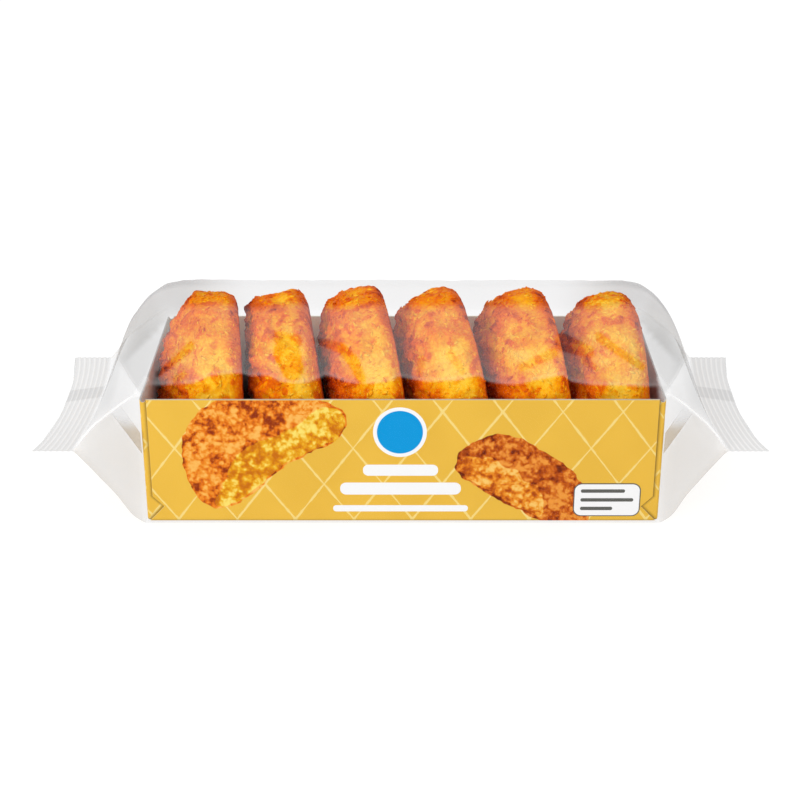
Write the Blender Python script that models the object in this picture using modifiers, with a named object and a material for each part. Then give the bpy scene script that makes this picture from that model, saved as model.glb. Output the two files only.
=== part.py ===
"""Six coconut macaroons on edge in an open card tray, sealed in a sleeve of clear film.

Metres, +Z up. +X runs along the pack, +Y to its back, and the origin is the
middle of the underside, where the film lies on the table.
"""
import math
from dataclasses import dataclass

import bmesh
import bpy
from mathutils import Matrix, Vector, noise

MM = 0.001
CLEAR = 0.3 * MM

# Card tray, with its outer front and back panels glued over the corner flaps
TRAY_LENGTH = 175.0 * MM
TRAY_DEPTH = 75.8 * MM
TRAY_HEIGHT = 45.5 * MM
TRAY_OFF_CENTRE = 0.75 * MM
BOARD = 0.5 * MM
PANEL = 0.45 * MM
PANEL_SIDE_INSET = 2.3 * MM
CHEVRON_TOP = 9.5 * MM
CHEVRON_POINT = 5.6 * MM
CHEVRON_DEPTH = 3.8 * MM
PANEL_FOOT_INSET = 1.0 * MM
TRAY_CORNER_RADIUS = 0.7 * MM
RIM_NOTCH_RADIUS = 0.9 * MM
RIM_NOTCH_DEPTH = 3.6 * MM
PANEL_MARGIN = 0.3 * MM
WELD = 0.01 * MM

# Film sleeve; the real film is thinner than this wall
FILM = 0.4 * MM
SLEEVE_HALF_WIDTH = TRAY_DEPTH / 2 + CLEAR + FILM
SLEEVE_TOP = 72.2 * MM
RIM_SLACK = 0.8 * MM
SIDE_TOP = TRAY_HEIGHT + FILM + CLEAR + RIM_SLACK

# Sleeve beyond the tray, as reach past the tray's end, which is negative over the tray
FIN_ROOT = 23.0 * MM
FIN_WIDTH = 12.8 * MM
RIGHT_FIN_SHORTER = 1.5 * MM
FIN_HALF_DEPTH = 39.8 * MM
FIN_HEIGHT = 28.3 * MM
FIN_THICKNESS = 1.2 * MM
FLUTE_PITCH = 2.13 * MM
FLUTE_RISE = 0.25 * MM
FIN_BOW = 2.4 * MM
BOW_START = 0.4 * FIN_ROOT
FIN_DROOP = 2.0 * MM
FIN_EAR = 0.8 * MM
EAR_SHARPNESS = 6

# Millimetre marks at each reach: how far crown and fold have dropped, and how far the belly has risen
CROWN_DROPS = ((-10.0, 0.0), (-4.5, 1.3), (0.5, 4.8), (3.5, 8.0), (7.5, 13.4), (12.2, 23.0), (17.0, 33.5))
FOLD_DROPS = ((0.5, 0.0), (6.7, 2.4), (10.3, 5.0), (14.9, 8.7), (20.8, 16.0))
BELLY_RISES = ((1.0, 0.0), (4.5, 2.7), (9.4, 10.5), (14.7, 17.6))
BODY_REACHES = (-45.0, -10.0, -4.5, 0.5, 3.5, 7.5, 12.2, 17.0, 20.8)

# The arch is half an ellipse at the front, and flatter towards the back with a higher power
BACK_ARCH_POWER = 1.8

# Points round the sleeve
BOTTOM_STEPS = 8
SIDE_STEPS = 2
ARCH_STEPS = 14

# Macaroons: crust relief, and how finely they are turned
RING_STEPS = 36
CROWN_STEPS = 8
EDGE_STEPS = 4
BASE_RINGS = (0.36, 0.7)
LUMP_SIZE = 15.0 * MM
LUMP_RISE = 1.6 * MM
CRAG_SIZE = 6.5 * MM
CRAG_RISE = 1.4 * MM
CRUST_INSET = 0.25 * MM
BASE_RELIEF_SHARE = 0.25
BASE_RELIEF_FADE = 3.0 * MM
SIDE_RELIEF_SHARE = 0.4
RELIEF_STEP = 7.3
SPIN_STEP = 2.4


@dataclass(frozen=True)
class Macaroon:
    """One macaroon: its turned shape in metres, and how it stands in the tray.

    The shoulder is where the side turns into the crown, and a higher power
    makes a squarer crown. The base's rounded edge draws in by edge_in over
    the height edge_rise, and the side draws in by taper up to the shoulder.
    It leans and turns by degrees, and base_x is the place of its flat base
    along the tray.
    """

    radius: float
    height: float
    shoulder: float
    power: float
    edge_in: float
    edge_rise: float
    taper: float
    lean: float
    turn: float
    base_x: float


MACAROONS = (
    Macaroon(33.6 * MM, 27.9 * MM, 12.3 * MM, 1.6, 4.1 * MM, 5.8 * MM, 0.5 * MM, -1.1, -8.2, -57.9 * MM),
    Macaroon(33.5 * MM, 25.0 * MM, 16.8 * MM, 2.09, 8.0 * MM, 6.8 * MM, 0.6 * MM, 7.8, -6.1, -28.8 * MM),
    Macaroon(34.6 * MM, 24.8 * MM, 7.1 * MM, 2.86, 5.2 * MM, 4.5 * MM, 0.0 * MM, 6.8, -8.0, -2.6 * MM),
    Macaroon(34.4 * MM, 25.8 * MM, 9.6 * MM, 2.57, 2.7 * MM, 7.7 * MM, 0.4 * MM, 9.6, -9.0, 25.1 * MM),
    Macaroon(33.6 * MM, 26.2 * MM, 10.6 * MM, 2.43, 1.8 * MM, 7.6 * MM, 0.2 * MM, 7.2, -7.0, 53.7 * MM),
    Macaroon(33.2 * MM, 27.1 * MM, 9.4 * MM, 2.11, 5.5 * MM, 7.5 * MM, 0.1 * MM, 3.6, -2.9, 82.8 * MM),
)


def clear_scene():
    """Remove every object, so that the script builds the pack alone."""
    for old in list(bpy.data.objects):
        bpy.data.objects.remove(old, do_unlink=True)


def new_collection(name):
    """Make a collection and link it to the scene."""
    collection = bpy.data.collections.new(name)
    bpy.context.scene.collection.children.link(collection)
    return collection


def new_material(name, colour, roughness, alpha=1.0):
    """Make a Principled material of one colour."""
    material = bpy.data.materials.new(name)
    material.use_nodes = True
    shader = material.node_tree.nodes["Principled BSDF"]
    shader.inputs["Base Color"].default_value = (*colour, 1.0)
    shader.inputs["Roughness"].default_value = roughness
    shader.inputs["Metallic"].default_value = 0.0
    shader.inputs["Alpha"].default_value = alpha
    return material


def new_object(name, mesh, collection, material=None):
    """Put a mesh into the scene under a name."""
    made = bpy.data.objects.new(name, mesh)
    collection.objects.link(made)
    if material:
        made.data.materials.append(material)
    return made


def mesh_from(bm, name):
    """Turn a bmesh into mesh data and free it."""
    mesh = bpy.data.meshes.new(name)
    bm.to_mesh(mesh)
    bm.free()
    return mesh


def hide_cutter(cutter):
    """Keep a Boolean's operand out of the model."""
    cutter.hide_render = True
    cutter.display_type = "WIRE"


def add_boolean(target, operand, operation):
    """Cut or join another object into the target."""
    boolean = target.modifiers.new(f"{operation.lower()} {operand.name}", "BOOLEAN")
    boolean.object = operand
    boolean.operation = operation
    boolean.solver = "EXACT"


# Card tray
def tray_shell():
    """Open box of the tray, without its wall thickness."""
    bm = bmesh.new()
    bmesh.ops.create_cube(bm, size=1.0)
    size = Vector((TRAY_LENGTH, TRAY_DEPTH - 2 * PANEL, TRAY_HEIGHT))
    bmesh.ops.scale(bm, vec=size, verts=bm.verts)
    bmesh.ops.translate(bm, vec=Vector((0, 0, TRAY_HEIGHT / 2)), verts=bm.verts)
    lid = [face for face in bm.faces if face.normal.z > 0.5]
    bmesh.ops.delete(bm, geom=lid, context="FACES")
    folds = [edge for edge in bm.edges if len(edge.link_faces) == 2]
    bmesh.ops.bevel(bm, geom=folds, offset=TRAY_CORNER_RADIUS, segments=2, profile=0.5, affect="EDGES")
    return mesh_from(bm, "tray shell")


def panel_outline():
    """Half outline of a glued panel, from the foot up its right side to the rim."""
    half = TRAY_LENGTH / 2
    side = half - PANEL_SIDE_INSET
    return [
        (half - PANEL_FOOT_INSET, PANEL_MARGIN),
        (side - CHEVRON_DEPTH, CHEVRON_POINT),
        (side, CHEVRON_TOP),
        (side, TRAY_HEIGHT - PANEL_MARGIN),
    ]


def make_panel(name, facing, collection):
    """Flat outline of the outer panel, as thick as the board, set half into the wall."""
    right = panel_outline()
    outline = right + [(-x, z) for x, z in reversed(right)]
    curve = bpy.data.curves.new(name, "CURVE")
    curve.dimensions = "2D"
    curve.fill_mode = "BOTH"
    thickness = PANEL + BOARD / 2
    curve.extrude = thickness / 2
    spline = curve.splines.new("POLY")
    spline.points.add(len(outline) - 1)
    for point, (x, z) in zip(spline.points, outline):
        point.co = (x, z, 0.0, 1.0)
    spline.use_cyclic_u = True
    flat = bpy.data.objects.new(name + " outline", curve)
    collection.objects.link(flat)
    flat.rotation_euler = (math.pi / 2, 0.0, 0.0)
    flat.location = (TRAY_OFF_CENTRE, facing * (TRAY_DEPTH / 2 - thickness / 2), tray_floor())
    bpy.context.view_layer.update()
    evaluated = flat.evaluated_get(bpy.context.evaluated_depsgraph_get())
    mesh = bpy.data.meshes.new_from_object(evaluated)
    bm = bmesh.new()
    bm.from_mesh(mesh)
    bmesh.ops.remove_doubles(bm, verts=bm.verts, dist=WELD)
    bm.to_mesh(mesh)
    bm.free()
    panel = new_object(name, mesh, collection)
    panel.matrix_world = flat.matrix_world.copy()
    bpy.data.objects.remove(flat, do_unlink=True)
    hide_cutter(panel)
    return panel


def make_rim_notch(name, side, facing, collection):
    """Small round bite out of the rim, between the corner and the glued panel."""
    bm = bmesh.new()
    bmesh.ops.create_cone(
        bm, cap_ends=True, segments=12, radius1=RIM_NOTCH_RADIUS, radius2=RIM_NOTCH_RADIUS,
        depth=RIM_NOTCH_DEPTH,
    )
    notch = new_object(name, mesh_from(bm, name), collection)
    notch.rotation_euler = (math.pi / 2, 0.0, 0.0)
    notch.location = (
        TRAY_OFF_CENTRE + side * (TRAY_LENGTH / 2 - PANEL_SIDE_INSET / 2),
        facing * (TRAY_DEPTH / 2 - PANEL - BOARD / 2),
        tray_floor() + TRAY_HEIGHT,
    )
    hide_cutter(notch)
    return notch


def tray_floor():
    """Height of the tray's underside, just above the film that it lies on."""
    return FILM + CLEAR


def make_tray(collection, cutters, material):
    """Folded card tray, open at the top."""
    tray = new_object("carton_tray", tray_shell(), collection, material)
    tray.location = (TRAY_OFF_CENTRE, 0.0, tray_floor())
    walls = tray.modifiers.new("board", "SOLIDIFY")
    walls.thickness = BOARD
    walls.offset = -1.0
    walls.use_even_offset = True
    for side in (-1, 1):
        for facing in (-1, 1):
            notch = make_rim_notch(f"rim notch {side} {facing}", side, facing, cutters)
            add_boolean(tray, notch, "DIFFERENCE")
    for facing in (-1, 1):
        add_boolean(tray, make_panel(f"glued panel {facing}", facing, cutters), "UNION")
    return tray


# Macaroons
def crown_point(kind, share):
    """Radius and height on the rounded crown, share 0 at its shoulder and 1 at its top."""
    angle = share * math.pi / 2
    out = math.cos(angle) ** (2 / kind.power)
    rise = math.sin(angle) ** (2 / kind.power)
    return (kind.radius - kind.taper) * out, kind.shoulder + (kind.height - kind.shoulder) * rise


def macaroon_profile(kind):
    """Turned profile as (radius, height) points, from the top down to the middle of the base."""
    points = [(0.0, kind.height)]
    points += [crown_point(kind, 1 - step / CROWN_STEPS) for step in range(1, CROWN_STEPS + 1)]
    points.append((kind.radius - kind.taper / 3, (kind.shoulder + kind.edge_rise) / 2))
    for step in range(EDGE_STEPS + 1):
        angle = step / EDGE_STEPS * math.pi / 2
        points.append((kind.radius - kind.edge_in * (1 - math.cos(angle)), kind.edge_rise * (1 - math.sin(angle))))
    points += [(kind.radius * share, 0.0) for share in reversed(BASE_RINGS)]
    points.append((0.0, 0.0))
    return points


def turned_mesh(name, profile, collection):
    """Turn a profile round Z with a Screw modifier and return the closed mesh."""
    bm = bmesh.new()
    verts = [bm.verts.new((radius, 0.0, height)) for radius, height in profile]
    for first, second in zip(verts, verts[1:]):
        bm.edges.new((first, second))
    outline = new_object(name, mesh_from(bm, name), collection)
    turn = outline.modifiers.new("turn", "SCREW")
    turn.axis = "Z"
    turn.steps = RING_STEPS
    turn.render_steps = RING_STEPS
    turn.use_merge_vertices = True
    turn.merge_threshold = WELD
    turn.use_normal_calculate = True
    bpy.context.view_layer.update()
    evaluated = outline.evaluated_get(bpy.context.evaluated_depsgraph_get())
    mesh = bpy.data.meshes.new_from_object(evaluated)
    bpy.data.objects.remove(outline, do_unlink=True)
    return mesh


def crag_height(point, kind, seed):
    """How far the crust stands out at a point: broad lumps everywhere, sharper crags on the crown."""
    place = Vector((0.0, 0.0, seed * RELIEF_STEP))
    lumps = noise.noise(point / LUMP_SIZE + place)
    crags = noise.noise(point / CRAG_SIZE + place * 2)
    off_base = min(1.0, max(0.0, point.z / BASE_RELIEF_FADE))
    up_crown = min(1.0, max(0.0, point.z / kind.height))
    weight = BASE_RELIEF_SHARE + (1 - BASE_RELIEF_SHARE) * off_base
    crag_weight = SIDE_RELIEF_SHARE + (1 - SIDE_RELIEF_SHARE) * up_crown
    return weight * (LUMP_RISE * lumps + CRAG_RISE * crags * crag_weight) - CRUST_INSET


def roughen(mesh, kind, seed):
    """Push each point in or out from the macaroon's heart by the height of its crags."""
    heart = Vector((0.0, 0.0, kind.shoulder))
    for vert in mesh.vertices:
        outward = (vert.co - heart).normalized()
        vert.co = vert.co + outward * crag_height(vert.co.copy(), kind, seed)


def make_macaroon(number, kind, collection, material):
    """One macaroon on edge: base to the right, crown to the left, resting on the tray's floor."""
    name = f"macaroon_{number}"
    mesh = turned_mesh(name, macaroon_profile(kind), collection)
    roughen(mesh, kind, number)
    bm = bmesh.new()
    bm.from_mesh(mesh)
    bmesh.ops.triangulate(bm, faces=bm.faces)
    bm.to_mesh(mesh)
    bm.free()
    macaroon = new_object(name, mesh, collection, material)
    spin = Matrix.Rotation(number * SPIN_STEP, 4, "Z")
    lean = Matrix.Rotation(-math.radians(90.0 + kind.lean), 4, "Y")
    turn = Matrix.Rotation(-math.radians(kind.turn), 4, "Z")
    pose = turn @ lean @ spin
    lowest = min((pose @ vert.co).z for vert in mesh.vertices)
    rest = tray_floor() + BOARD + CLEAR - lowest
    macaroon.matrix_world = Matrix.Translation((TRAY_OFF_CENTRE + kind.base_x, 0.0, rest)) @ pose
    mesh.shade_smooth()
    return macaroon


# Film sleeve
def smooth_step(low, high, value):
    """Ease from 0 at low to 1 at high."""
    share = min(1.0, max(0.0, (value - low) / (high - low)))
    return share * share * (3 - 2 * share)


def through(value, marks):
    """Read a height from (reach, height) marks in millimetres, straight between them."""
    reach = value / MM
    if reach <= marks[0][0]:
        return marks[0][1] * MM
    for (left, low), (right, high) in zip(marks, marks[1:]):
        if reach <= right:
            return (low + (high - low) * (reach - left) / (right - left)) * MM
    return marks[-1][1] * MM


def fin_side(facing):
    """Height of the fin's upper face, facing 1, or lower face, facing -1, in millimetres."""
    return (FIN_HEIGHT + facing * FIN_THICKNESS / 2) / MM


def crown_height(reach):
    """Top of the sleeve at the middle of its depth, falling past the tray's end to the fin."""
    marks = [(place, SLEEVE_TOP / MM - drop) for place, drop in CROWN_DROPS]
    return through(reach, marks + [(FIN_ROOT / MM, fin_side(1))])


def fold_height(reach):
    """Height of the fold that runs from the tray's rim corner to the fin's corner."""
    marks = [(place, SIDE_TOP / MM - drop) for place, drop in FOLD_DROPS]
    return through(reach, marks + [(FIN_ROOT / MM, fin_side(1))])


def belly_height(reach):
    """Underside of the sleeve, flat below the tray and rising to the fin."""
    return through(reach, [*BELLY_RISES, (FIN_ROOT / MM, fin_side(-1))])


def half_width(reach):
    """Half depth of the sleeve, a little more at the flattened fin than at the tray."""
    return SLEEVE_HALF_WIDTH + (FIN_HALF_DEPTH - SLEEVE_HALF_WIDTH) * smooth_step(0.0, FIN_ROOT, reach)


def section(reach):
    """One closed ring of (y, z) points: along the underside, up one side, over the arch and down."""
    width = half_width(reach)
    belly = belly_height(reach)
    fold = fold_height(reach)
    crown = crown_height(reach)
    ring = [(-width + 2 * width * step / BOTTOM_STEPS, belly) for step in range(BOTTOM_STEPS)]
    ring += [(width, belly + (fold - belly) * step / SIDE_STEPS) for step in range(SIDE_STEPS)]
    for step in range(ARCH_STEPS):
        angle = math.pi * step / ARCH_STEPS
        power = BACK_ARCH_POWER if angle < math.pi / 2 else 1.0
        ring.append((width * math.cos(angle), fold + (crown - fold) * math.sin(angle) ** power))
    ring += [(-width, fold + (belly - fold) * step / SIDE_STEPS) for step in range(SIDE_STEPS)]
    return ring


def fin_reaches():
    """Distances of the crimped fin's stations past the tray's end, two to a flute."""
    count = round(FIN_WIDTH / FLUTE_PITCH) * 2
    return [FIN_ROOT + FIN_WIDTH * step / count for step in range(count + 1)]


def sleeve_stations():
    """Every station of one half of the sleeve as (reach, flute lift), from the middle outwards."""
    stations = [(reach * MM, 0.0) for reach in BODY_REACHES]
    stations += [(reach, FLUTE_RISE * (1 if step % 2 else -1)) for step, reach in enumerate(fin_reaches())]
    return stations


def station_points(side, reach, lift):
    """Ring of the sleeve in space, with the fin's bow, droop and flared corners."""
    tray_end = TRAY_LENGTH / 2
    shorter = RIGHT_FIN_SHORTER if side > 0 else 0.0
    squeeze = shorter * smooth_step(0.0, FIN_ROOT, reach)
    in_fin = min(1.0, max(0.0, (reach - FIN_ROOT) / FIN_WIDTH))
    points = []
    for y, z in section(reach):
        across = min(1.0, abs(y) / FIN_HALF_DEPTH)
        middle = 1 - across * across
        bow = FIN_BOW * middle * smooth_step(BOW_START, FIN_ROOT, reach)
        ear = FIN_EAR * in_fin * across ** EAR_SHARPNESS
        x = TRAY_OFF_CENTRE + side * (tray_end + reach - squeeze - bow + ear)
        points.append(Vector((x, y, z + lift - FIN_DROOP * middle * in_fin)))
    return points


def make_film(collection, material):
    """Sleeve lofted from ring to ring, open at both fin ends, with its wall added inwards."""
    stations = sleeve_stations()
    rings = [station_points(-1, *station) for station in reversed(stations)]
    rings += [station_points(1, *station) for station in stations]
    bm = bmesh.new()
    rows = [[bm.verts.new(point) for point in ring] for ring in rings]
    for first, second in zip(rows, rows[1:]):
        count = len(first)
        for index in range(count):
            after = (index + 1) % count
            bm.faces.new((first[index], second[index], second[after], first[after]))
    bmesh.ops.recalc_face_normals(bm, faces=bm.faces)
    film = new_object("film_wrap", mesh_from(bm, "film_wrap"), collection, material)
    wall = film.modifiers.new("film", "SOLIDIFY")
    wall.thickness = FILM
    wall.offset = -1.0
    wall.use_even_offset = True
    wall.use_rim = True
    return film


def build_pack():
    """Build every piece of the pack."""
    clear_scene()
    pack = new_collection("coconut_macaroon_pack")
    cutters = new_collection("cutters")
    card = new_material("printed card", (0.83, 0.51, 0.075), 0.55)
    crust = new_material("baked coconut crust", (0.85, 0.38, 0.03), 0.6)
    clear = new_material("clear film", (0.9, 0.91, 0.92), 0.12, alpha=0.25)
    make_tray(pack, cutters, card)
    for number, kind in enumerate(MACAROONS, start=1):
        make_macaroon(number, kind, pack, crust)
    make_film(pack, clear)


build_pack()
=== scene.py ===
"""Sealed pack of coconut macaroons: baked pieces on edge in a printed card tray, in clear film.

Metres, +Z up. +X runs along the pack towards the macaroons' flat bases, +Y to
its back, and the origin is the middle of the underside.
"""
from __future__ import annotations

import bisect
import logging
import math
import random
from dataclasses import dataclass
from enum import Enum
from typing import Any, Optional, Sequence

import bmesh
import bpy
from mathutils import Matrix, Vector, noise

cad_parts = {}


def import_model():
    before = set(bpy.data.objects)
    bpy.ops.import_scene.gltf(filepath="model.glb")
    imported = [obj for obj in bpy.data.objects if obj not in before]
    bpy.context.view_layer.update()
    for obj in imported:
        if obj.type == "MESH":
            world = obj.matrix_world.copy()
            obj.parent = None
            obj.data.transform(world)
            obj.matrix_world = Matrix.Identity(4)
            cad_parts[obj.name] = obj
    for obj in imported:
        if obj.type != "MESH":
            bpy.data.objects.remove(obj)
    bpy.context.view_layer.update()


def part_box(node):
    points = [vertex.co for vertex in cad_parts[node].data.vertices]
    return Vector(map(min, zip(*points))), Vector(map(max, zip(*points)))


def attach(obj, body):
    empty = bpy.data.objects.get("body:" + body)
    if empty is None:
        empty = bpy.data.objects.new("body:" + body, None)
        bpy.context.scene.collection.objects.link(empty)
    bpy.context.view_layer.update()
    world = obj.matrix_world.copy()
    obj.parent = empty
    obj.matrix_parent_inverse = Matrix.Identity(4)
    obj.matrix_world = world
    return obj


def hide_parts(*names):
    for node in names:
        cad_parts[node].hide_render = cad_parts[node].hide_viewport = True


LOG = logging.getLogger("macaroon_pack")
MM = 0.001
ROOT = "root"
Colour = tuple[float, float, float, float]
Pair = tuple[float, float]
Pairs = tuple[Pair, ...]
Triple = tuple[float, float, float]
Material = bpy.types.Material
BMesh = bmesh.types.BMesh
CARD_SHARE = 0.875
NOISE_SEED = 1796074390
HAZE_AND_SHEEN_LAYERS = ("haze", "tone", "warm")


class Slot(Enum):
    """Material slots of the record that the pieces take their finish from."""

    FILM = "clear_film"
    CARD = "printed_card"
    CRUST = "baked_coconut"


class Side(Enum):
    """The two ends of the pack."""

    LEFT = -1
    RIGHT = 1


def srgb(red: float, green: float, blue: float) -> Colour:
    """Turn a colour seen on screen, 0 to 255 a channel, into linear light.

    Args:
        red: Red channel.
        green: Green channel.
        blue: Blue channel.

    Returns:
        Linear red, green, blue and an alpha of 1.
    """
    def linear(value: float) -> float:
        """Linear light of one channel."""
        share = value / 255
        return share / 12.92 if share <= 0.04045 else ((share + 0.055) / 1.055) ** 2.4

    return (linear(red), linear(green), linear(blue), 1.0)


def card_tone(red: float, green: float, blue: float) -> Colour:
    """Linear light of a card or ink colour that is to look like this under the studio's light."""
    return tuple(part * CARD_SHARE for part in srgb(red, green, blue)[:3]) + (1.0,)


def ease(low: float, high: float, value: float) -> float:
    """Smooth step from 0 at low to 1 at high."""
    share = min(1.0, max(0.0, (value - low) / (high - low)))
    return share * share * (3 - 2 * share)


def hill(value: float, middle: float, width: float) -> float:
    """Rounded hill of height 1 at the middle, near 0 a few widths away."""
    return math.exp(-(((value - middle) / width) ** 2))


class ShaderBench:
    """Adds and links nodes in one material or node group."""

    def __init__(self, tree: bpy.types.NodeTree) -> None:
        """Work on a node tree."""
        self.tree = tree

    def feed(self, socket: bpy.types.NodeSocket, value: Any) -> None:
        """Link a socket to an output, or set its plain value."""
        if isinstance(value, bpy.types.NodeSocket):
            self.tree.links.new(value, socket)
        else:
            socket.default_value = value

    def feed_all(self, node: bpy.types.Node, inputs: dict[Any, Any]) -> bpy.types.Node:
        """Feed a node's inputs, given by name or number, and hand the node back."""
        for key, value in inputs.items():
            self.feed(node.inputs[key], value)
        return node

    def add(self, kind: str, inputs: Optional[dict[Any, Any]] = None, **settings: Any) -> bpy.types.Node:
        """Add a node.

        Args:
            kind: The node's type without its ShaderNode prefix.
            inputs: Values or output sockets by input name or number.
            settings: Properties of the node itself.

        Returns:
            The new node.
        """
        node = self.tree.nodes.new("ShaderNode" + kind)
        for name, value in settings.items():
            setattr(node, name, value)
        return self.feed_all(node, inputs or {})

    def math(self, operation: str, first: Any, second: Any = 0.0, third: Any = 0.0,
             clamp: bool = False) -> Any:
        """Output of a Math node."""
        inputs = {0: first, 1: second, 2: third}
        return self.add("Math", inputs, operation=operation, use_clamp=clamp).outputs[0]

    def band(self, value: Any, low: float, high: float, out_low: float = 0.0, out_high: float = 1.0) -> Any:
        """Output of a clamped, smooth Map Range node."""
        inputs = {"Value": value, "From Min": low, "From Max": high, "To Min": out_low, "To Max": out_high}
        return self.add("MapRange", inputs, interpolation_type="SMOOTHSTEP").outputs["Result"]

    def mix(self, factor: Any, first: Any, second: Any) -> Any:
        """Colour output of a Mix node."""
        return self.add("Mix", {"Factor": factor, 6: first, 7: second}, data_type="RGBA").outputs[2]

    def ramp(self, factor: Any, stops: Sequence[tuple[float, Colour]]) -> Any:
        """Colour output of a Color Ramp node with the given stops."""
        node = self.add("ValToRGB", {"Fac": factor})
        elements = node.color_ramp.elements
        while len(elements) < len(stops):
            elements.new(0.5)
        for element, (place, colour) in zip(elements, stops):
            element.position = place
            element.color = colour
        return node.outputs["Color"]

    def object_point(self) -> Any:
        """Object coordinates, which here are the pack's own metres."""
        return self.add("TexCoord").outputs["Object"]

    def axes(self, vector: Any) -> Any:
        """Outputs X, Y and Z of a vector."""
        return self.add("SeparateXYZ", {0: vector}).outputs

    def noise(self, point: Any, scale: Any, detail: float = 2.0, roughness: float = 0.5) -> Any:
        """Value output of a Noise Texture."""
        inputs = {"Vector": point, "Scale": scale, "Detail": detail, "Roughness": roughness}
        return self.add("TexNoise", inputs).outputs["Fac"]

    def bump(self, height: Any, distance: float, strength: float) -> Any:
        """Normal of a surface that this height roughens."""
        inputs = {"Height": height, "Distance": distance, "Strength": strength}
        return self.add("Bump", inputs).outputs["Normal"]

    def attribute(self, name: str) -> Any:
        """Value of a number stored on the mesh's points."""
        return self.add("Attribute", attribute_name=name, attribute_type="GEOMETRY").outputs["Fac"]

    def group(self, tree: bpy.types.NodeTree, inputs: dict[str, Any]) -> bpy.types.Node:
        """Place a node group and feed its inputs."""
        node = self.tree.nodes.new("ShaderNodeGroup")
        node.node_tree = tree
        return self.feed_all(node, inputs)


def new_material(name: str) -> tuple[Material, ShaderBench, bpy.types.Node]:
    """Make a material.

    Args:
        name: The material's name.

    Returns:
        The material, a bench on its nodes, and its Principled node.
    """
    material = bpy.data.materials.new(name)
    material.use_nodes = True
    bench = ShaderBench(material.node_tree)
    return material, bench, material.node_tree.nodes["Principled BSDF"]


def new_group(name: str, inputs: Sequence[tuple[str, str]], outputs: Sequence[tuple[str, str]]) -> tuple[
        bpy.types.NodeTree, ShaderBench, bpy.types.Node, bpy.types.Node]:
    """Make a shader node group.

    Args:
        name: The group's name.
        inputs: Name and socket kind of each input.
        outputs: Name and socket kind of each output.

    Returns:
        The group, a bench on it, its input node and its output node.
    """
    tree = bpy.data.node_groups.new(name, "ShaderNodeTree")
    for direction, sockets in (("INPUT", inputs), ("OUTPUT", outputs)):
        for socket_name, kind in sockets:
            tree.interface.new_socket(name=socket_name, in_out=direction, socket_type="NodeSocket" + kind)
    bench = ShaderBench(tree)
    return tree, bench, tree.nodes.new("NodeGroupInput"), tree.nodes.new("NodeGroupOutput")


class SharedEffects:
    """Shader node groups that more than one finish uses, each built once."""

    brush_scale: float = 420.0
    brush_width: tuple[float, ...] = (0.2, 0.75, 0.3, 0.62)
    wear_scale: float = 130.0
    wear_width: tuple[float, ...] = (0.3, 0.62, 0.5, 1.0)
    fibre_detail: float = 5.0
    fibre_roughness: float = 0.7

    def __init__(self) -> None:
        """Build the groups."""
        self.mottle = self._mottle()
        self.lattice = self._lattice()
        self.fibres = self._fibres()

    @staticmethod
    def _mottle() -> bpy.types.NodeTree:
        """Two scales of soft patches: one mask of broad blotches and one of small specks."""
        tree, bench, given, out = new_group(
            "mottle", (("Point", "Vector"), ("Blotch Scale", "Float"), ("Speck Scale", "Float")),
            (("Blotches", "Float"), ("Specks", "Float")))
        for mask, scale, detail, roughness, low, high in (
                ("Blotches", "Blotch Scale", 3.0, 0.55, 0.35, 0.65),
                ("Specks", "Speck Scale", 4.0, 0.65, 0.38, 0.62)):
            patches = bench.noise(given.outputs["Point"], given.outputs[scale], detail, roughness)
            bench.feed(out.inputs[mask], bench.band(patches, low, high))
        return tree

    def _lattice(self) -> bpy.types.NodeTree:
        """Mask of thin, slightly brushy diagonal lines in the plane of the point's X and Y."""
        tree, bench, given, out = new_group(
            "lattice", (("Point", "Vector"), ("Across", "Float"), ("Up", "Float"), ("Line", "Float")),
            (("Mask", "Float"),))
        point, pitches = given.outputs["Point"], (given.outputs["Across"], given.outputs["Up"])
        axes = bench.axes(point)
        across, up = (bench.math("DIVIDE", axes[axis], pitch) for axis, pitch in zip("XY", pitches))
        squares = [bench.math("POWER", pitch, -2.0) for pitch in pitches]
        slope = bench.math("SQRT", bench.math("ADD", *squares))
        brush = bench.band(bench.noise(point, self.brush_scale, 3.0, 0.6), *self.brush_width)
        wear = bench.band(bench.noise(point, self.wear_scale, 1.0), *self.wear_width)
        half = bench.math("MULTIPLY", bench.math("MULTIPLY", given.outputs["Line"], brush), wear)
        masks = []
        for operation in ("ADD", "SUBTRACT"):
            run = bench.math("FRACT", bench.math(operation, across, up))
            off_line = bench.math("ABSOLUTE", bench.math("SUBTRACT", run, 0.5))
            masks.append(bench.math("LESS_THAN", bench.math("DIVIDE", off_line, slope), half))
        bench.feed(out.inputs["Mask"], bench.math("MAXIMUM", *masks))
        return tree

    def _fibres(self) -> bpy.types.NodeTree:
        """Height of a fine paper surface."""
        tree, bench, given, out = new_group("card fibres", (("Point", "Vector"), ("Scale", "Float")),
                                            (("Height", "Float"),))
        fine = bench.noise(given.outputs["Point"], given.outputs["Scale"], self.fibre_detail,
                           self.fibre_roughness)
        bench.feed(out.inputs["Height"], fine)
        return tree


def add_piece(name: str, bm: BMesh, finishes: Sequence[Material],
              smooth: bool = True) -> bpy.types.Object:
    """Turn a bmesh into a piece that rides on the pack's one body.

    Args:
        name: The piece's name.
        bm: Its mesh, which is freed.
        finishes: Its materials, in the order of their indices.
        smooth: Whether its faces are shaded smooth.

    Returns:
        The new object.
    """
    mesh = bpy.data.meshes.new(name)
    bm.to_mesh(mesh)
    bm.free()
    for finish in finishes:
        mesh.materials.append(finish)
    if smooth:
        mesh.shade_smooth()
    piece = bpy.data.objects.new(name, mesh)
    bpy.context.scene.collection.objects.link(piece)
    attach(piece, ROOT)
    LOG.info("%s: %d faces", name, len(mesh.polygons))
    return piece


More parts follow.
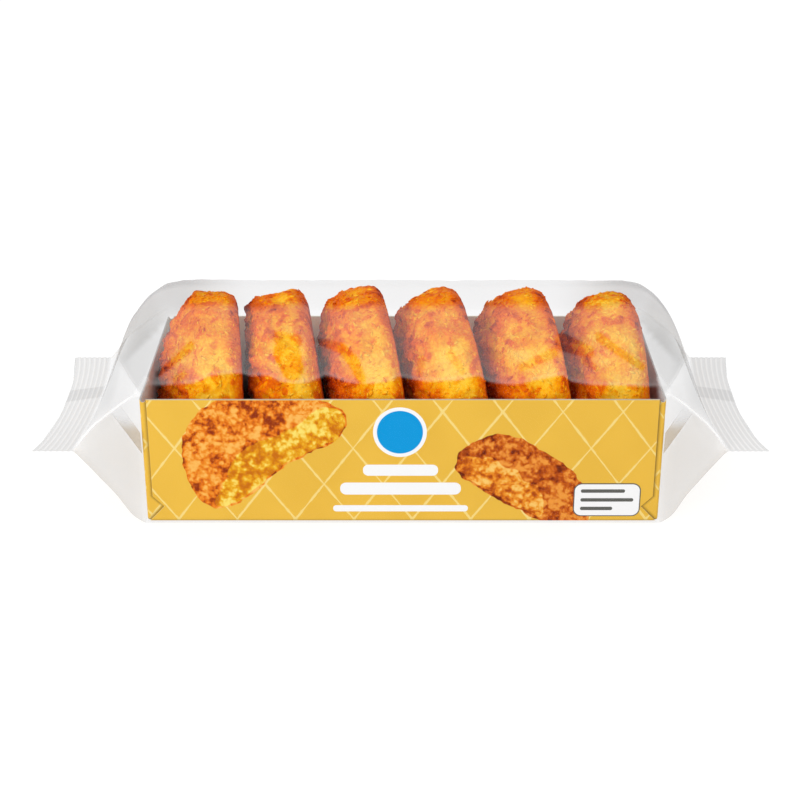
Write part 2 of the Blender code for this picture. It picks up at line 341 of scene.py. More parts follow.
# Macaroons
@dataclass(frozen=True)
class CrustFinish:
    """Colours and grain of the baked coconut crust, from pale crumb to dark rim, with painted shade in its
    cracks.
    """

    tones: tuple[tuple[float, Colour], ...] = (
        (0.0, srgb(255, 206, 62)), (0.12, srgb(255, 194, 40)), (0.3, srgb(248, 162, 4)),
        (0.55, srgb(238, 112, 2)), (0.8, srgb(208, 80, 6)), (1.0, srgb(146, 38, 3)))
    # Painted shade: the redder, darker colour of the crust's cracks.
    pit: Colour = srgb(206, 78, 2)
    paling: float = 0.16
    blotch_scale: float = 170.0
    blotch_share: float = 0.14
    speck_scale: float = 1100.0
    speck_share: float = 0.17
    roughness: float = 0.62
    roughness_spread: float = 0.12
    specular: float = 0.06
    grain_scale: float = 1500.0
    strand_scale: float = 620.0
    strand_depth: float = 0.6
    bump_height: float = 0.35 * MM
    bump_strength: float = 0.45

    def material(self, effects: SharedEffects) -> Material:
        """Build the crust's material.

        Args:
            effects: The shared node groups.

        Returns:
            The material.
        """
        material, bench, shader = new_material("baked coconut crust")
        point = bench.object_point()
        mottle = bench.group(effects.mottle, {"Point": point, "Blotch Scale": self.blotch_scale,
                                              "Speck Scale": self.speck_scale})
        blotches, specks = mottle.outputs["Blotches"], mottle.outputs["Specks"]
        toast = bench.math("SUBTRACT", bench.attribute("toast"), self.paling)
        toast = bench.math("MULTIPLY_ADD", blotches, self.blotch_share, toast)
        toast = bench.math("MULTIPLY_ADD", specks, self.speck_share, toast)
        strands = bench.add("TexVoronoi", {"Vector": point, "Scale": self.strand_scale}).outputs["Distance"]
        height = bench.math("MULTIPLY_ADD", strands, -self.strand_depth,
                            bench.noise(point, self.grain_scale, 3.0, 0.6))
        # Base colour: the tone ramp, with painted shade in the cracks.
        bench.feed_all(shader, {
            "Base Color": bench.mix(bench.attribute("pit"), bench.ramp(toast, self.tones), self.pit),
            "Roughness": bench.band(specks, 0.0, 1.0, self.roughness + self.roughness_spread,
                                    self.roughness - self.roughness_spread),
            "Specular IOR Level": self.specular,
            "Normal": bench.bump(height, self.bump_height, self.bump_strength)})
        return material


@dataclass(frozen=True)
class Macaroon:
    """One macaroon: its turned shape in metres, and how it stands in the tray.

    The shoulder is where the side turns into the crown, and a higher power
    makes a squarer crown. The base's rounded edge draws in by edge_in over
    the height edge_rise, and the side draws in by taper up to the shoulder.
    It leans and turns by degrees, and base_x is the place of its flat base
    along the tray.
    """

    number: int
    radius: float
    height: float
    shoulder: float
    power: float
    edge_in: float
    edge_rise: float
    taper: float
    lean: float
    turn: float
    base_x: float

    crown_steps: int = 60
    edge_steps: int = 12

    def profile(self) -> list[Pair]:
        """Turned profile as (radius, height), from the top down to the middle of the base."""
        points = [(0.0, self.height)]
        for step in range(1, self.crown_steps + 1):
            angle = (1 - step / self.crown_steps) * math.pi / 2
            out = math.cos(angle) ** (2 / self.power)
            rise = math.sin(angle) ** (2 / self.power)
            points.append(((self.radius - self.taper) * out,
                           self.shoulder + (self.height - self.shoulder) * rise))
        points.append((self.radius - self.taper / 3, (self.shoulder + self.edge_rise) / 2))
        for step in range(self.edge_steps + 1):
            angle = step / self.edge_steps * math.pi / 2
            points.append((self.radius - self.edge_in * (1 - math.cos(angle)),
                           self.edge_rise * (1 - math.sin(angle))))
        points.append((0.0, 0.0))
        return points

    def pose(self, spin_step: float, tray_middle: float) -> Matrix:
        """Turn from the macaroon's own frame, base down, to its place on edge in the tray."""
        spin = Matrix.Rotation(self.number * spin_step, 4, "Z")
        lean = Matrix.Rotation(-math.radians(90.0 + self.lean), 4, "Y")
        turn = Matrix.Rotation(-math.radians(self.turn), 4, "Z")
        return Matrix.Translation((tray_middle + self.base_x, 0.0, 0.0)) @ turn @ lean @ spin


class EvenProfile:
    """Walks down a turned profile so that equal steps cover equal areas of the turned surface."""

    def __init__(self, points: Sequence[Pair]) -> None:
        """Measure the area turned by each stretch of the profile."""
        self.points = list(points)
        self.reached = [0.0]
        for (radius, height), (next_radius, next_height) in zip(points, points[1:]):
            length = math.hypot(next_radius - radius, next_height - height)
            self.reached.append(self.reached[-1] + length * (radius + next_radius) / 2)

    def at(self, share: float) -> Pair:
        """Radius and height where the given share of the area lies above."""
        target = share * self.reached[-1]
        index = min(len(self.points) - 2, max(0, bisect.bisect_right(self.reached, target) - 1))
        span = self.reached[index + 1] - self.reached[index]
        part = (target - self.reached[index]) / span if span else 0.0
        (radius, height), (next_radius, next_height) = self.points[index], self.points[index + 1]
        if radius == 0.0:
            part = math.sqrt(max(0.0, part))
        elif next_radius == 0.0:
            part = 1 - math.sqrt(max(0.0, 1 - part))
        return radius + (next_radius - radius) * part, height + (next_height - height) * part


@dataclass(frozen=True)
class CrustRelief:
    """Lumps and crags of a macaroon's crust, and the shredded coconut on them.

    A share is a pair: on the smooth side, and how much more on a craggy crown.
    """

    lump_size: float = 15.0 * MM
    lump_rise: float = 1.6 * MM
    crag_size: float = 6.5 * MM
    crag_rise: float = 1.4 * MM
    inset: float = 0.25 * MM
    base_share: float = 0.25
    base_fade: float = 3.0 * MM
    side_share: float = 0.4
    seed_step: float = 7.3
    clump_size: float = 2.7 * MM
    clump_bend: float = 1.3 * MM
    clump_bend_size: float = 3.1 * MM
    crack_width: float = 0.5
    crack_depth: float = 0.2 * MM
    crack_share: Pair = (0.5, 1.0)
    crack_patch: float = 2.3
    crack_opens: Pair = (-0.1, 0.35)
    shred_width: float = 1.25 * MM
    shred_stretch: float = 2.4
    shred_rise: float = 0.42 * MM
    shred_share: Pair = (0.65, 0.75)
    finer: float = 2.1
    finer_share: float = 0.5
    way_step: float = 3.7
    knob_size: float = 3.4 * MM
    knob_rise: float = 1.6 * MM
    knob_share: Pair = (0.35, 1.1)
    knob_shift: Triple = (9.0, 0.0, 4.0)
    flat_share: float = 0.3

    def coarse(self, point: Vector, kind: Macaroon) -> float:
        """How far the crust stands out at a point: broad lumps, and sharper crags on the crown."""
        place = Vector((0.0, 0.0, kind.number * self.seed_step))
        lumps = noise.noise(point / self.lump_size + place)
        crags = noise.noise(point / self.crag_size + place * 2)
        off_base = min(1.0, max(0.0, point.z / self.base_fade))
        up_crown = min(1.0, max(0.0, point.z / kind.height))
        weight = self.base_share + (1 - self.base_share) * off_base
        crag_weight = self.side_share + (1 - self.side_share) * up_crown
        return weight * (self.lump_rise * lumps + self.crag_rise * crags * crag_weight) - self.inset

    def fine(self, point: Vector, rough: float) -> Pair:
        """Height of the shredded coconut at a point.

        Args:
            point: Place on the crust, in the macaroon's own frame.
            rough: How craggy the crust is there, 0 to 1.

        Returns:
            The height, and how deep in a crack the point lies, 0 to 1.
        """
        bent = point + noise.noise_vector(point / self.clump_bend_size) * self.clump_bend
        distances, centres = noise.voronoi(bent / self.clump_size)
        edge = min(1.0, (distances[1] - distances[0]) / self.crack_width)
        opening = ease(*self.crack_opens, noise.noise(point / (self.crack_patch * self.clump_size)))
        crack = (1 - edge) ** 2 * opening
        way = noise.noise_vector(centres[0] * self.way_step).normalized()
        drawn = (point - way * point.dot(way) * (1 - 1 / self.shred_stretch)) / self.shred_width
        shreds = noise.noise(drawn) + self.finer_share * noise.noise(drawn * self.finer)
        knobs = noise.noise(point / self.knob_size + Vector(self.knob_shift))
        height = 0.0
        for rise, (smooth, more) in ((self.shred_rise * shreds, self.shred_share),
                                     (-self.crack_depth * crack, self.crack_share),
                                     (self.knob_rise * knobs, self.knob_share)):
            height += rise * (smooth + more * rough)
        return height, crack


@dataclass(frozen=True)
class ToastingAndShade:
    """How brown the crust is baked: pale on the side, and darker by a share on each other part. The top and
    low-crown shares, set by height in the tray, are painted shade.

    A band is where a part sets in, or fades out if its higher end comes first.
    """

    pale: float = 0.16
    crown: float = 0.36
    crown_band: Pair = (0.3, 0.95)
    crown_waver: float = 0.16
    crown_waver_size: float = 5.0 * MM
    rim: float = 0.36
    rim_height: float = 0.8 * MM
    rim_width: float = 2.8 * MM
    base: float = 0.36
    base_band: Pair = (0.6 * MM, 0.0)
    base_edge: Pair = (1.02, 0.9)
    blotch: float = 0.17
    blotch_size: float = 9.0 * MM
    patch: float = 0.24
    patch_size: float = 3.6 * MM
    patch_band: Pair = (0.22, 0.42)
    # Painted shade: the top of each macaroon, high in the tray, is darker.
    top: float = 0.24
    top_shade_band: Pair = (0.6, 0.95)
    # Painted shade: the crown is darker low down in the tray.
    low_crown_shade: float = 0.1
    low_crown_shade_band: Pair = (0.45, 0.85)
    low_shade_band: Pair = (0.7, 0.35)
    raised: float = 0.12

    def tone(self, point: Vector, kind: Macaroon, raised: float, high: float) -> float:
        """How brown the crust is at a point, with painted shade on the top and low crown.

        Args:
            point: The point before its relief, in the macaroon's own frame.
            kind: The macaroon.
            raised: How far it stands out, as a share of a crag.
            high: Its height in the tray, as a share of the radius.

        Returns:
            The tone, about 0 for pale and 1 for dark.
        """
        up = point.z / kind.height
        across = math.hypot(point.x, point.y) / kind.radius
        waver = self.crown_waver * noise.noise(point / self.crown_waver_size)
        patches = noise.noise(point / self.patch_size + Vector((0.0, 5.7, kind.number)))
        value = self.pale + self.crown * ease(*self.crown_band, up + waver)
        value += self.rim * hill(point.z, self.rim_height, self.rim_width)
        value += self.base * ease(*self.base_band, point.z) * ease(*self.base_edge, across)
        value += self.blotch * noise.noise(point / self.blotch_size + Vector((3.1, kind.number, 0.0)))
        # The top term here and the low-crown term below are painted shade, set by height in the tray.
        value += self.patch * ease(*self.patch_band, patches) + self.top * ease(*self.top_shade_band, high)
        value += self.low_crown_shade * ease(*self.low_crown_shade_band, up) * ease(*self.low_shade_band, high)
        return value + self.raised * raised


@dataclass(frozen=True)
class Flakes:
    """Small shreds of coconut on the crust: how many, their half size, and the ranges they are drawn from."""

    each: int = 2200
    seed: int = 40
    size: Triple = (1.25 * MM, 0.4 * MM, 0.32 * MM)
    growth: Pair = (0.6, 1.15)
    tilt: Pair = (-0.16, 0.22)
    shade: Pair = (-0.26, 0.18)
    off_base: float = 0.5 * MM

    def scatter(self, bm: BMesh, kind: Macaroon, plain: dict[bmesh.types.BMVert, Vector],
                normals: dict[bmesh.types.BMVert, Vector], toast: Any) -> None:
        """Lay the shreds on the crust, half sunk and pointing every way.

        Args:
            bm: The macaroon's mesh, to which they are added.
            kind: The macaroon.
            plain: Each point's place before its relief.
            normals: Each point's outward direction.
            toast: Layer of how brown each point is, with its painted shade.
        """
        draw = random.Random(self.seed + kind.number)
        seed = bmesh.new()
        bmesh.ops.create_icosphere(seed, subdivisions=1, radius=1.0)
        corners = len(seed.verts)
        for layer in ("toast", "pit"):
            seed.verts.layers.float.new(layer)
        template = bpy.data.meshes.new("shred")
        seed.to_mesh(template)
        seed.free()
        ground = list(plain)
        for _ in range(self.each):
            seat = ground[draw.randrange(len(ground))]
            if plain[seat].z < self.off_base:
                continue
            outward = normals[seat]
            way = outward.cross(Vector((draw.gauss(0, 1), draw.gauss(0, 1), draw.gauss(0, 1)))).normalized()
            side = outward.cross(way)
            grown = draw.uniform(*self.growth)
            length, width, thick = (size * grown for size in self.size)
            tilt = draw.uniform(*self.tilt)
            axes = Matrix((way + outward * tilt, side, outward)).transposed().to_4x4()
            place = Matrix.Translation(seat.co) @ axes @ Matrix.Diagonal((length, width, thick, 1.0))
            shade = seat[toast] + draw.uniform(*self.shade)
            shred = template.copy()
            shred.transform(place)
            shred.attributes["toast"].data.foreach_set("value", [shade] * corners)
            bm.from_mesh(shred)
            bpy.data.meshes.remove(shred)
        bpy.data.meshes.remove(template)


@dataclass
class MacaroonRow:
    """The macaroons standing on edge in the tray."""

    effects: SharedEffects
    macaroons: tuple[Macaroon, ...] = (
        Macaroon(1, 33.6 * MM, 27.9 * MM, 12.3 * MM, 1.6, 4.1 * MM, 5.8 * MM, 0.5 * MM,
                 lean=-1.1, turn=-8.2, base_x=-57.9 * MM),
        Macaroon(2, 33.5 * MM, 25.0 * MM, 16.8 * MM, 2.09, 8.0 * MM, 6.8 * MM, 0.6 * MM,
                 lean=7.8, turn=-6.1, base_x=-28.8 * MM),
        Macaroon(3, 34.6 * MM, 24.8 * MM, 7.1 * MM, 2.86, 5.2 * MM, 4.5 * MM, 0.0 * MM,
                 lean=6.8, turn=-8.0, base_x=-2.6 * MM),
        Macaroon(4, 34.4 * MM, 25.8 * MM, 9.6 * MM, 2.57, 2.7 * MM, 7.7 * MM, 0.4 * MM,
                 lean=9.6, turn=-9.0, base_x=25.1 * MM),
        Macaroon(5, 33.6 * MM, 26.2 * MM, 10.6 * MM, 2.43, 1.8 * MM, 7.6 * MM, 0.2 * MM,
                 lean=7.2, turn=-7.0, base_x=53.7 * MM),
        Macaroon(6, 33.2 * MM, 27.1 * MM, 9.4 * MM, 2.11, 5.5 * MM, 7.5 * MM, 0.1 * MM,
                 lean=3.6, turn=-2.9, base_x=82.8 * MM),
    )
    tray_middle: float = 0.75 * MM
    spin_step: float = 2.4
    sphere_level: int = 7
    relief: CrustRelief = CrustRelief()
    toasting_and_shade: ToastingAndShade = ToastingAndShade()
    flakes: Flakes = Flakes()
    rough_band: Pair = (0.35, 0.95)
    lift_weight: float = 2.0
    # Painted shade: how much crack colour the deepest cracks take.
    crack_shade_share: float = 0.3
    settle: float = 0.15 * MM
    touch: float = 0.2 * MM

    def build(self, kind: Macaroon, crust: Material, before: Optional[Matrix], reach: float) -> Matrix:
        """Model one macaroon and put it in the place of its solid.

        Args:
            kind: The macaroon's shape and stance.
            crust: Its material.
            before: Place and stance of the macaroon on its left, if it has one.
            reach: Radius of that one.

        Returns:
            Its own place and stance.
        """
        bm = bmesh.new()
        bmesh.ops.create_icosphere(bm, subdivisions=self.sphere_level, radius=1.0)
        toast = bm.verts.layers.float.new("toast")
        pit = bm.verts.layers.float.new("pit")
        profile = EvenProfile(kind.profile())
        pose = kind.pose(self.spin_step, self.tray_middle)
        heart = Vector((0.0, 0.0, kind.shoulder))
        relief = self.relief
        plain: dict[bmesh.types.BMVert, Vector] = {}
        raised: dict[bmesh.types.BMVert, float] = {}
        for vert in bm.verts:
            radius, height = profile.at((1 - vert.co.z) / 2)
            around = math.hypot(vert.co.x, vert.co.y) or 1.0
            point = Vector((vert.co.x / around * radius, vert.co.y / around * radius, height))
            plain[vert] = point
            raised[vert] = relief.coarse(point, kind)
            vert.co = point + (point - heart).normalized() * raised[vert]
        bm.normal_update()
        lifts = {}
        for vert, point in plain.items():
            lifts[vert], crack = relief.fine(point, ease(*self.rough_band, point.z / kind.height))
            stands_out = (raised[vert] + self.lift_weight * lifts[vert]) / relief.crag_rise
            vert[toast] = self.toasting_and_shade.tone(point, kind, stands_out, (pose @ point).z / kind.radius)
            # Painted shade in the crust's cracks.
            vert[pit] = min(1.0, crack * self.crack_shade_share)
        normals = {vert: vert.normal.copy() for vert in bm.verts}
        for vert, lift in lifts.items():
            off_base = ease(0.0, relief.base_fade, plain[vert].z)
            vert.co += normals[vert] * lift * (off_base * (1 - relief.flat_share) + relief.flat_share)
        self.flakes.scatter(bm, kind, plain, normals, toast)
        bmesh.ops.transform(bm, matrix=pose, verts=bm.verts)
        name = f"macaroon_{kind.number}"
        lowest = min(vert.co.z for vert in bm.verts)
        drop = Matrix.Translation((0.0, 0.0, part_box(name)[0][2] - self.settle - lowest))
        bmesh.ops.transform(bm, matrix=drop, verts=bm.verts)
        if before is not None:
            self.press(bm, before, reach)
        piece = add_piece(f"baked_macaroon_{kind.number}", bm, [crust])
        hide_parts(name)
        return drop @ pose

    def press(self, bm: BMesh, frame: Matrix, reach: float) -> None:
        """Press the crust flat where it leans on the base of another macaroon.

        Args:
            bm: The mesh of the one that leans.
            frame: Place and stance of the other, whose base is at height 0 in it.
            reach: Radius of the other.
        """
        into = frame.inverted()
        for vert in bm.verts:
            spot = into @ vert.co
            if spot.z > -self.touch and math.hypot(spot.x, spot.y) < reach:
                spot.z = -self.touch
                vert.co = frame @ spot

    def assemble(self) -> None:
        """Build every macaroon, from the left."""
        crust = CrustFinish().material(self.effects)
        before, reach = None, 0.0
        for kind in self.macaroons:
            before, reach = self.build(kind, crust, before, reach), kind.radius


# Card tray
@dataclass(frozen=True)
class CardFinish:
    """Print and board of the tray, with painted shadow along the panels' edges and at the foot, and painted
    deep shade low inside.
    """

    ochre: Colour = card_tone(242, 192, 68)
    ochre_deep: Colour = card_tone(238, 188, 65)
    cloud_scale: float = 45.0
    line: Colour = card_tone(253, 226, 140)
    line_share: float = 0.85
    line_width: float = 0.85 * MM
    across: float = 20.0 * MM
    up: float = 27.0 * MM
    # Painted shadow: along a glued panel's edge on the flaps, and along the tray's foot.
    fold_shade: Colour = card_tone(168, 132, 44)
    shade_width: float = 1.3 * MM
    shade_share: float = 0.9
    foot: Pair = (0.9 * MM, 1.7 * MM)
    foot_shadow_share: float = 0.7
    print_roughness: float = 0.5
    print_specular: float = 0.2
    print_grain: Triple = (900.0, 0.03 * MM, 0.1)
    board: Colour = card_tone(240, 250, 255)
    # Painted shade: dark brown low inside the tray between the macaroons, clear at the end walls.
    deep: Colour = card_tone(60, 16, 4)
    deep_shade_band: Pair = (14.0 * MM, 31.0 * MM)
    ends_clear: Pair = (80.0 * MM, 85.0 * MM)
    rim: Colour = card_tone(208, 208, 206)
    cut: Colour = card_tone(236, 214, 150)
    board_scale: float = 60.0
    board_roughness: float = 0.8
    board_grain: Triple = (1100.0, 0.1 * MM, 0.5)

    @staticmethod
    def grain(bench: ShaderBench, effects: SharedEffects, point: Any, grain: Triple) -> Any:
        """Normal of paper with a grain of (scale, height, strength)."""
        scale, height, strength = grain
        fibres = bench.group(effects.fibres, {"Point": point, "Scale": scale})
        return bench.bump(fibres.outputs["Height"], height, strength)

    def printed(self, effects: SharedEffects, name: str, crossing: Pair, sideways: bool,
                panel_edge: Sequence[Vector] = (), middle: float = 0.0) -> Material:
        """Build the printed outside: ochre with a lattice of thin pale lines, painted shade along the foot,
        and a painted shadow along a panel's edge where one is given.

        Args:
            effects: The shared node groups.
            name: The material's name.
            crossing: Place of one crossing of the lattice, across and up.
            sideways: Whether the end walls take the pattern along Y.
            panel_edge: Corners of the line along which a panel shades this card, as (from the middle, up, 0).
            middle: Middle of the tray along the pack.

        Returns:
            The material.
        """
        material, bench, shader = new_material(name)
        point = bench.object_point()
        axes = bench.axes(point)
        across = axes["X"]
        if sideways:
            facing = bench.axes(bench.add("NewGeometry").outputs["True Normal"])["X"]
            on_end = bench.math("GREATER_THAN", bench.math("ABSOLUTE", facing), 0.5)
            both = bench.add("Mix", {"Factor": on_end, 2: across, 3: axes["Y"]}, data_type="FLOAT")
            across = both.outputs[0]
        flat = bench.add("CombineXYZ", {
            "X": bench.math("SUBTRACT", across, crossing[0] + self.across / 2),
            "Y": bench.math("SUBTRACT", axes["Z"], crossing[1])}).outputs[0]
        lattice = bench.group(effects.lattice, {"Point": flat, "Across": self.across, "Up": self.up,
                                                "Line": self.line_width})
        cloud = bench.band(bench.noise(point, self.cloud_scale), 0.35, 0.65)
        shown = bench.mix(cloud, self.ochre, self.ochre_deep)
        shown = bench.mix(bench.math("MULTIPLY", lattice.outputs["Mask"], self.line_share), shown, self.line)
        # Painted shadow of the panel's edge on the flaps.
        if panel_edge:
            beside = bench.math("ABSOLUTE", bench.math("SUBTRACT", axes["X"], middle))
            spot = bench.add("CombineXYZ", {"X": beside, "Y": axes["Z"]}).outputs[0]
            nearest: Any = 1.0
            for start, end in zip(panel_edge, panel_edge[1:]):
                nearest = bench.math("MINIMUM", self.line_distance(bench, spot, start, end), nearest)
            shade = bench.band(nearest, 0.0, self.shade_width, self.shade_share, 0.0)
            shown = bench.mix(shade, shown, self.fold_shade)
        # Painted shade along the tray's foot.
        foot = bench.band(axes["Z"], *self.foot, self.foot_shadow_share, 0.0)
        bench.feed_all(shader, {"Base Color": bench.mix(foot, shown, self.fold_shade),
                                "Roughness": self.print_roughness, "Specular IOR Level": self.print_specular,
                                "Normal": self.grain(bench, effects, point, self.print_grain)})
        return material

    @staticmethod
    def line_distance(bench: ShaderBench, point: Any, start: Vector, end: Vector) -> Any:
        """Distance of a point from the straight line between two others."""
        run = end - start
        away = bench.add("VectorMath", {0: point, 1: start}, operation="SUBTRACT").outputs[0]
        part = run / run.length_squared
        along = bench.add("VectorMath", {0: away, 1: part}, operation="DOT_PRODUCT").outputs[1]
        along = bench.math("ADD", along, 0.0, clamp=True)
        foot = bench.add("VectorMath", {0: run, "Scale": along}, operation="SCALE").outputs[0]
        return bench.add("VectorMath", {0: away, 1: foot}, operation="DISTANCE").outputs[1]

    def plain(self, effects: SharedEffects, name: str, colour: Colour, spread: float,
              paints_deep_shade: bool = False) -> Material:
        """Build bare board of one colour with a fine paper grain.

        Args:
            effects: The shared node groups.
            name: The material's name.
            colour: The board's colour.
            spread: How much lighter and darker its cloudy patches are.
            paints_deep_shade: Whether painted shade turns it dark brown low between the macaroons.

        Returns:
            The material.
        """
        material, bench, shader = new_material(name)
        point = bench.object_point()
        darker, lighter = (tuple(min(1.0, part * share) for part in colour[:3]) + (1.0,)
                           for share in (1 - spread, 1 + spread))
        cloud = bench.band(bench.noise(point, self.board_scale, 3.0), 0.3, 0.7)
        shown = bench.mix(cloud, darker, lighter)
        # Painted shade: dark brown low down, away from the end walls.
        if paints_deep_shade:
            axes = bench.axes(point)
            at_end = bench.band(bench.math("ABSOLUTE", axes["X"]), *self.ends_clear)
            clear = bench.math("MAXIMUM", bench.band(axes["Z"], *self.deep_shade_band), at_end)
            shown = bench.mix(clear, self.deep, shown)
        bench.feed_all(shader, {"Base Color": shown, "Roughness": self.board_roughness,
                                "Normal": self.grain(bench, effects, point, self.board_grain)})
        return material


@dataclass
class CardTray:
    """Folded tray, open at the top, with a panel glued over its corner flaps front and back."""

    effects: SharedEffects
    middle: float = 0.75 * MM
    length: float = 175.0 * MM
    depth: float = 75.8 * MM
    height: float = 45.5 * MM
    under: float = 0.7 * MM
    board: float = 0.5 * MM
    panel: float = 0.45 * MM
    corner_radius: float = 0.8 * MM
    side_inset: float = 2.3 * MM
    chevron_top: float = 9.5 * MM
    chevron_point: float = 5.6 * MM
    chevron_depth: float = 3.8 * MM
    foot_inset: float = 1.0 * MM
    foot_lift: float = 0.15 * MM
    panel_clear: float = 0.02 * MM
    panel_bevel: float = 0.12 * MM
    notch_radius: float = 1.0 * MM
    notch_steps: int = 10
    crossing: Pair = (-75.95 * MM, 28.4 * MM)
    flap_crossing: Pair = (-84.95 * MM, 29.7 * MM)

    def rim_dip(self, x: float, y: float) -> float:
        """Depth of the small round dip in the rim between each corner and the glued panel."""
        from_corner = self.length / 2 - abs(x)
        middle = self.side_inset / 2
        off = abs(from_corner - middle)
        if abs(y) < self.depth / 2 - 3 * self.board or off >= self.notch_radius:
            return 0.0
        return math.sqrt(self.notch_radius ** 2 - off ** 2)

    def build_shell(self, finishes: Sequence[Material]) -> None:
        """Model the tray's folded walls and floor, from its finishes outside, inside and along the rim."""
        bm = bmesh.new()
        bmesh.ops.create_cube(bm, size=1.0)
        size = Vector((self.length, self.depth - 2 * self.panel, self.height))
        bmesh.ops.scale(bm, vec=size, verts=bm.verts)
        bmesh.ops.translate(bm, vec=Vector((0, 0, self.height / 2)), verts=bm.verts)
        bmesh.ops.delete(bm, geom=[face for face in bm.faces if face.normal.z > 0.5], context="FACES")
        folds = [edge for edge in bm.edges if len(edge.link_faces) == 2]
        bmesh.ops.bevel(bm, geom=folds, offset=self.corner_radius, segments=3, profile=0.5, affect="EDGES",
                        material=-1)
        first = self.length / 2 - self.side_inset / 2 - self.notch_radius
        for step in range(self.notch_steps + 1):
            cut = first + 2 * self.notch_radius * step / self.notch_steps
            for side in (-1, 1):
                bmesh.ops.bisect_plane(bm, geom=bm.verts[:] + bm.edges[:] + bm.faces[:], dist=0.00001 * MM,
                                       plane_co=Vector((side * cut, 0, 0)), plane_no=Vector((1, 0, 0)))
        for vert in bm.verts:
            if vert.co.z > self.height - 0.01 * MM:
                vert.co.z -= self.rim_dip(vert.co.x, vert.co.y)
        bmesh.ops.translate(bm, vec=Vector((self.middle, 0, self.under)), verts=bm.verts)
        shell = add_piece("tray_walls", bm, finishes, smooth=False)
        wall = shell.modifiers.new("board", "SOLIDIFY")
        wall.thickness = self.board
        wall.offset = -1.0
        wall.use_even_offset = True
        wall.material_offset = 1
        wall.material_offset_rim = 2
        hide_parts("carton_tray")

    def panel_outline(self) -> list[Pair]:
        """Outline of a glued panel, from the foot up its right side to the rim and round."""
        half = self.length / 2
        side = half - self.side_inset
        right = [(half - self.foot_inset, self.foot_lift), (side - self.chevron_depth, self.chevron_point),
                 (side, self.chevron_top), (side, self.height)]
        return right + [(-x, z) for x, z in reversed(right)]

    def build_panel(self, name: str, facing: int, finishes: Sequence[Material]) -> None:
        """Model a glued outer panel.

        Args:
            name: The piece's name.
            facing: -1 for the front and 1 for the back.
            finishes: Its print and its cut edge.
        """
        bm = bmesh.new()
        front = facing * self.depth / 2
        ring = [bm.verts.new((self.middle + x, front, self.under + z)) for x, z in self.panel_outline()]
        grown = bmesh.ops.extrude_face_region(bm, geom=[bm.faces.new(ring)])
        moved = [item for item in grown["geom"] if isinstance(item, bmesh.types.BMVert)]
        bmesh.ops.translate(bm, vec=Vector((0, -facing * (self.panel - self.panel_clear), 0)), verts=moved)
        bmesh.ops.recalc_face_normals(bm, faces=bm.faces)
        for face in bm.faces:
            if abs(face.normal.y) < 0.5:
                face.material_index = 1
        outer = [edge for edge in bm.edges if all(abs(vert.co.y - front) < 0.001 * MM for vert in edge.verts)]
        bmesh.ops.bevel(bm, geom=outer, offset=self.panel_bevel, segments=2, profile=0.5, affect="EDGES",
                        material=-1)
        panel = add_piece(name, bm, finishes, smooth=False)
        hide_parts("carton_tray")

    def assemble(self) -> None:
        """Build the tray and its panels."""
        finish = CardFinish()
        edge_line = [Vector((x, self.under + z, 0.0)) for x, z in self.panel_outline()[:4]]
        outside = finish.printed(self.effects, "print on the flaps", self.flap_crossing, sideways=True,
                                 panel_edge=edge_line, middle=self.middle)
        front = finish.printed(self.effects, "print on the panels", self.crossing, sideways=False)
        inside = finish.plain(self.effects, "bare grey board", finish.board, 0.04, paints_deep_shade=True)
        rim = finish.plain(self.effects, "cut rim of the board", finish.rim, 0.08)
        edge = finish.plain(self.effects, "cut edge of the panels", finish.cut, 0.08)
        self.build_shell([outside, inside, rim])
        self.build_panel("front_panel", -1, [front, edge])
        self.build_panel("back_panel", 1, [front, edge])


# Film
@dataclass(frozen=True)
class FilmFinish:
    """Clear film: what it lets through, its gloss, and the colours of its haze and painted light."""

    name: str = "clear film"
    through: Colour = (0.94, 0.94, 0.943, 1.0)
    gloss: Colour = (0.8, 0.8, 0.8, 1.0)
    gloss_roughness: float = 0.08
    haze_roughness: float = 0.5
    haze_specular: float = 0.1
    head_on: float = 0.003
    grazing: float = 0.09
    grazing_power: float = 4.0
    # Grey of the painted shade and reflections, and of the seams.
    grey_haze_and_shade: Colour = (0.27, 0.27, 0.27, 1.0)
    # White of the haze, and of the painted reflections and highlights.
    haze: Colour = (0.97, 0.97, 0.97, 1.0)
    # Warm beige of the end folds: partly more film, partly painted shade.
    warm_haze_and_shade: Colour = (0.5, 0.41, 0.3, 1.0)

    def material(self) -> Material:
        """Build the film's material."""
        material, bench, shader = new_material(self.name)
        # The haze layers: white painted reflections and highlights, warm beige, and grey painted shade.
        white = bench.mix(bench.attribute("warm"), self.haze, self.warm_haze_and_shade)
        bench.feed_all(shader, {"Base Color": bench.mix(bench.attribute("tone"), self.grey_haze_and_shade, white),
                                "Roughness": self.haze_roughness, "Specular IOR Level": self.haze_specular})
        clear = bench.add("BsdfTransparent", {"Color": self.through})
        inputs = {0: bench.attribute("haze"), 1: clear.outputs[0], 2: shader.outputs[0]}
        body = bench.add("MixShader", inputs)
        shine = bench.add("BsdfGlossy", {"Color": self.gloss, "Roughness": self.gloss_roughness})
        facing = bench.add("LayerWeight", {"Blend": 0.5}).outputs["Facing"]
        rim = bench.math("POWER", facing, self.grazing_power)
        share = bench.math("MULTIPLY_ADD", rim, self.grazing, self.head_on, clamp=True)
        whole = bench.add("MixShader", {0: share, 1: body.outputs[0], 2: shine.outputs[0]})
        output = next(node for node in material.node_tree.nodes if node.type == "OUTPUT_MATERIAL")
        bench.feed(output.inputs["Surface"], whole.outputs[0])
        return material


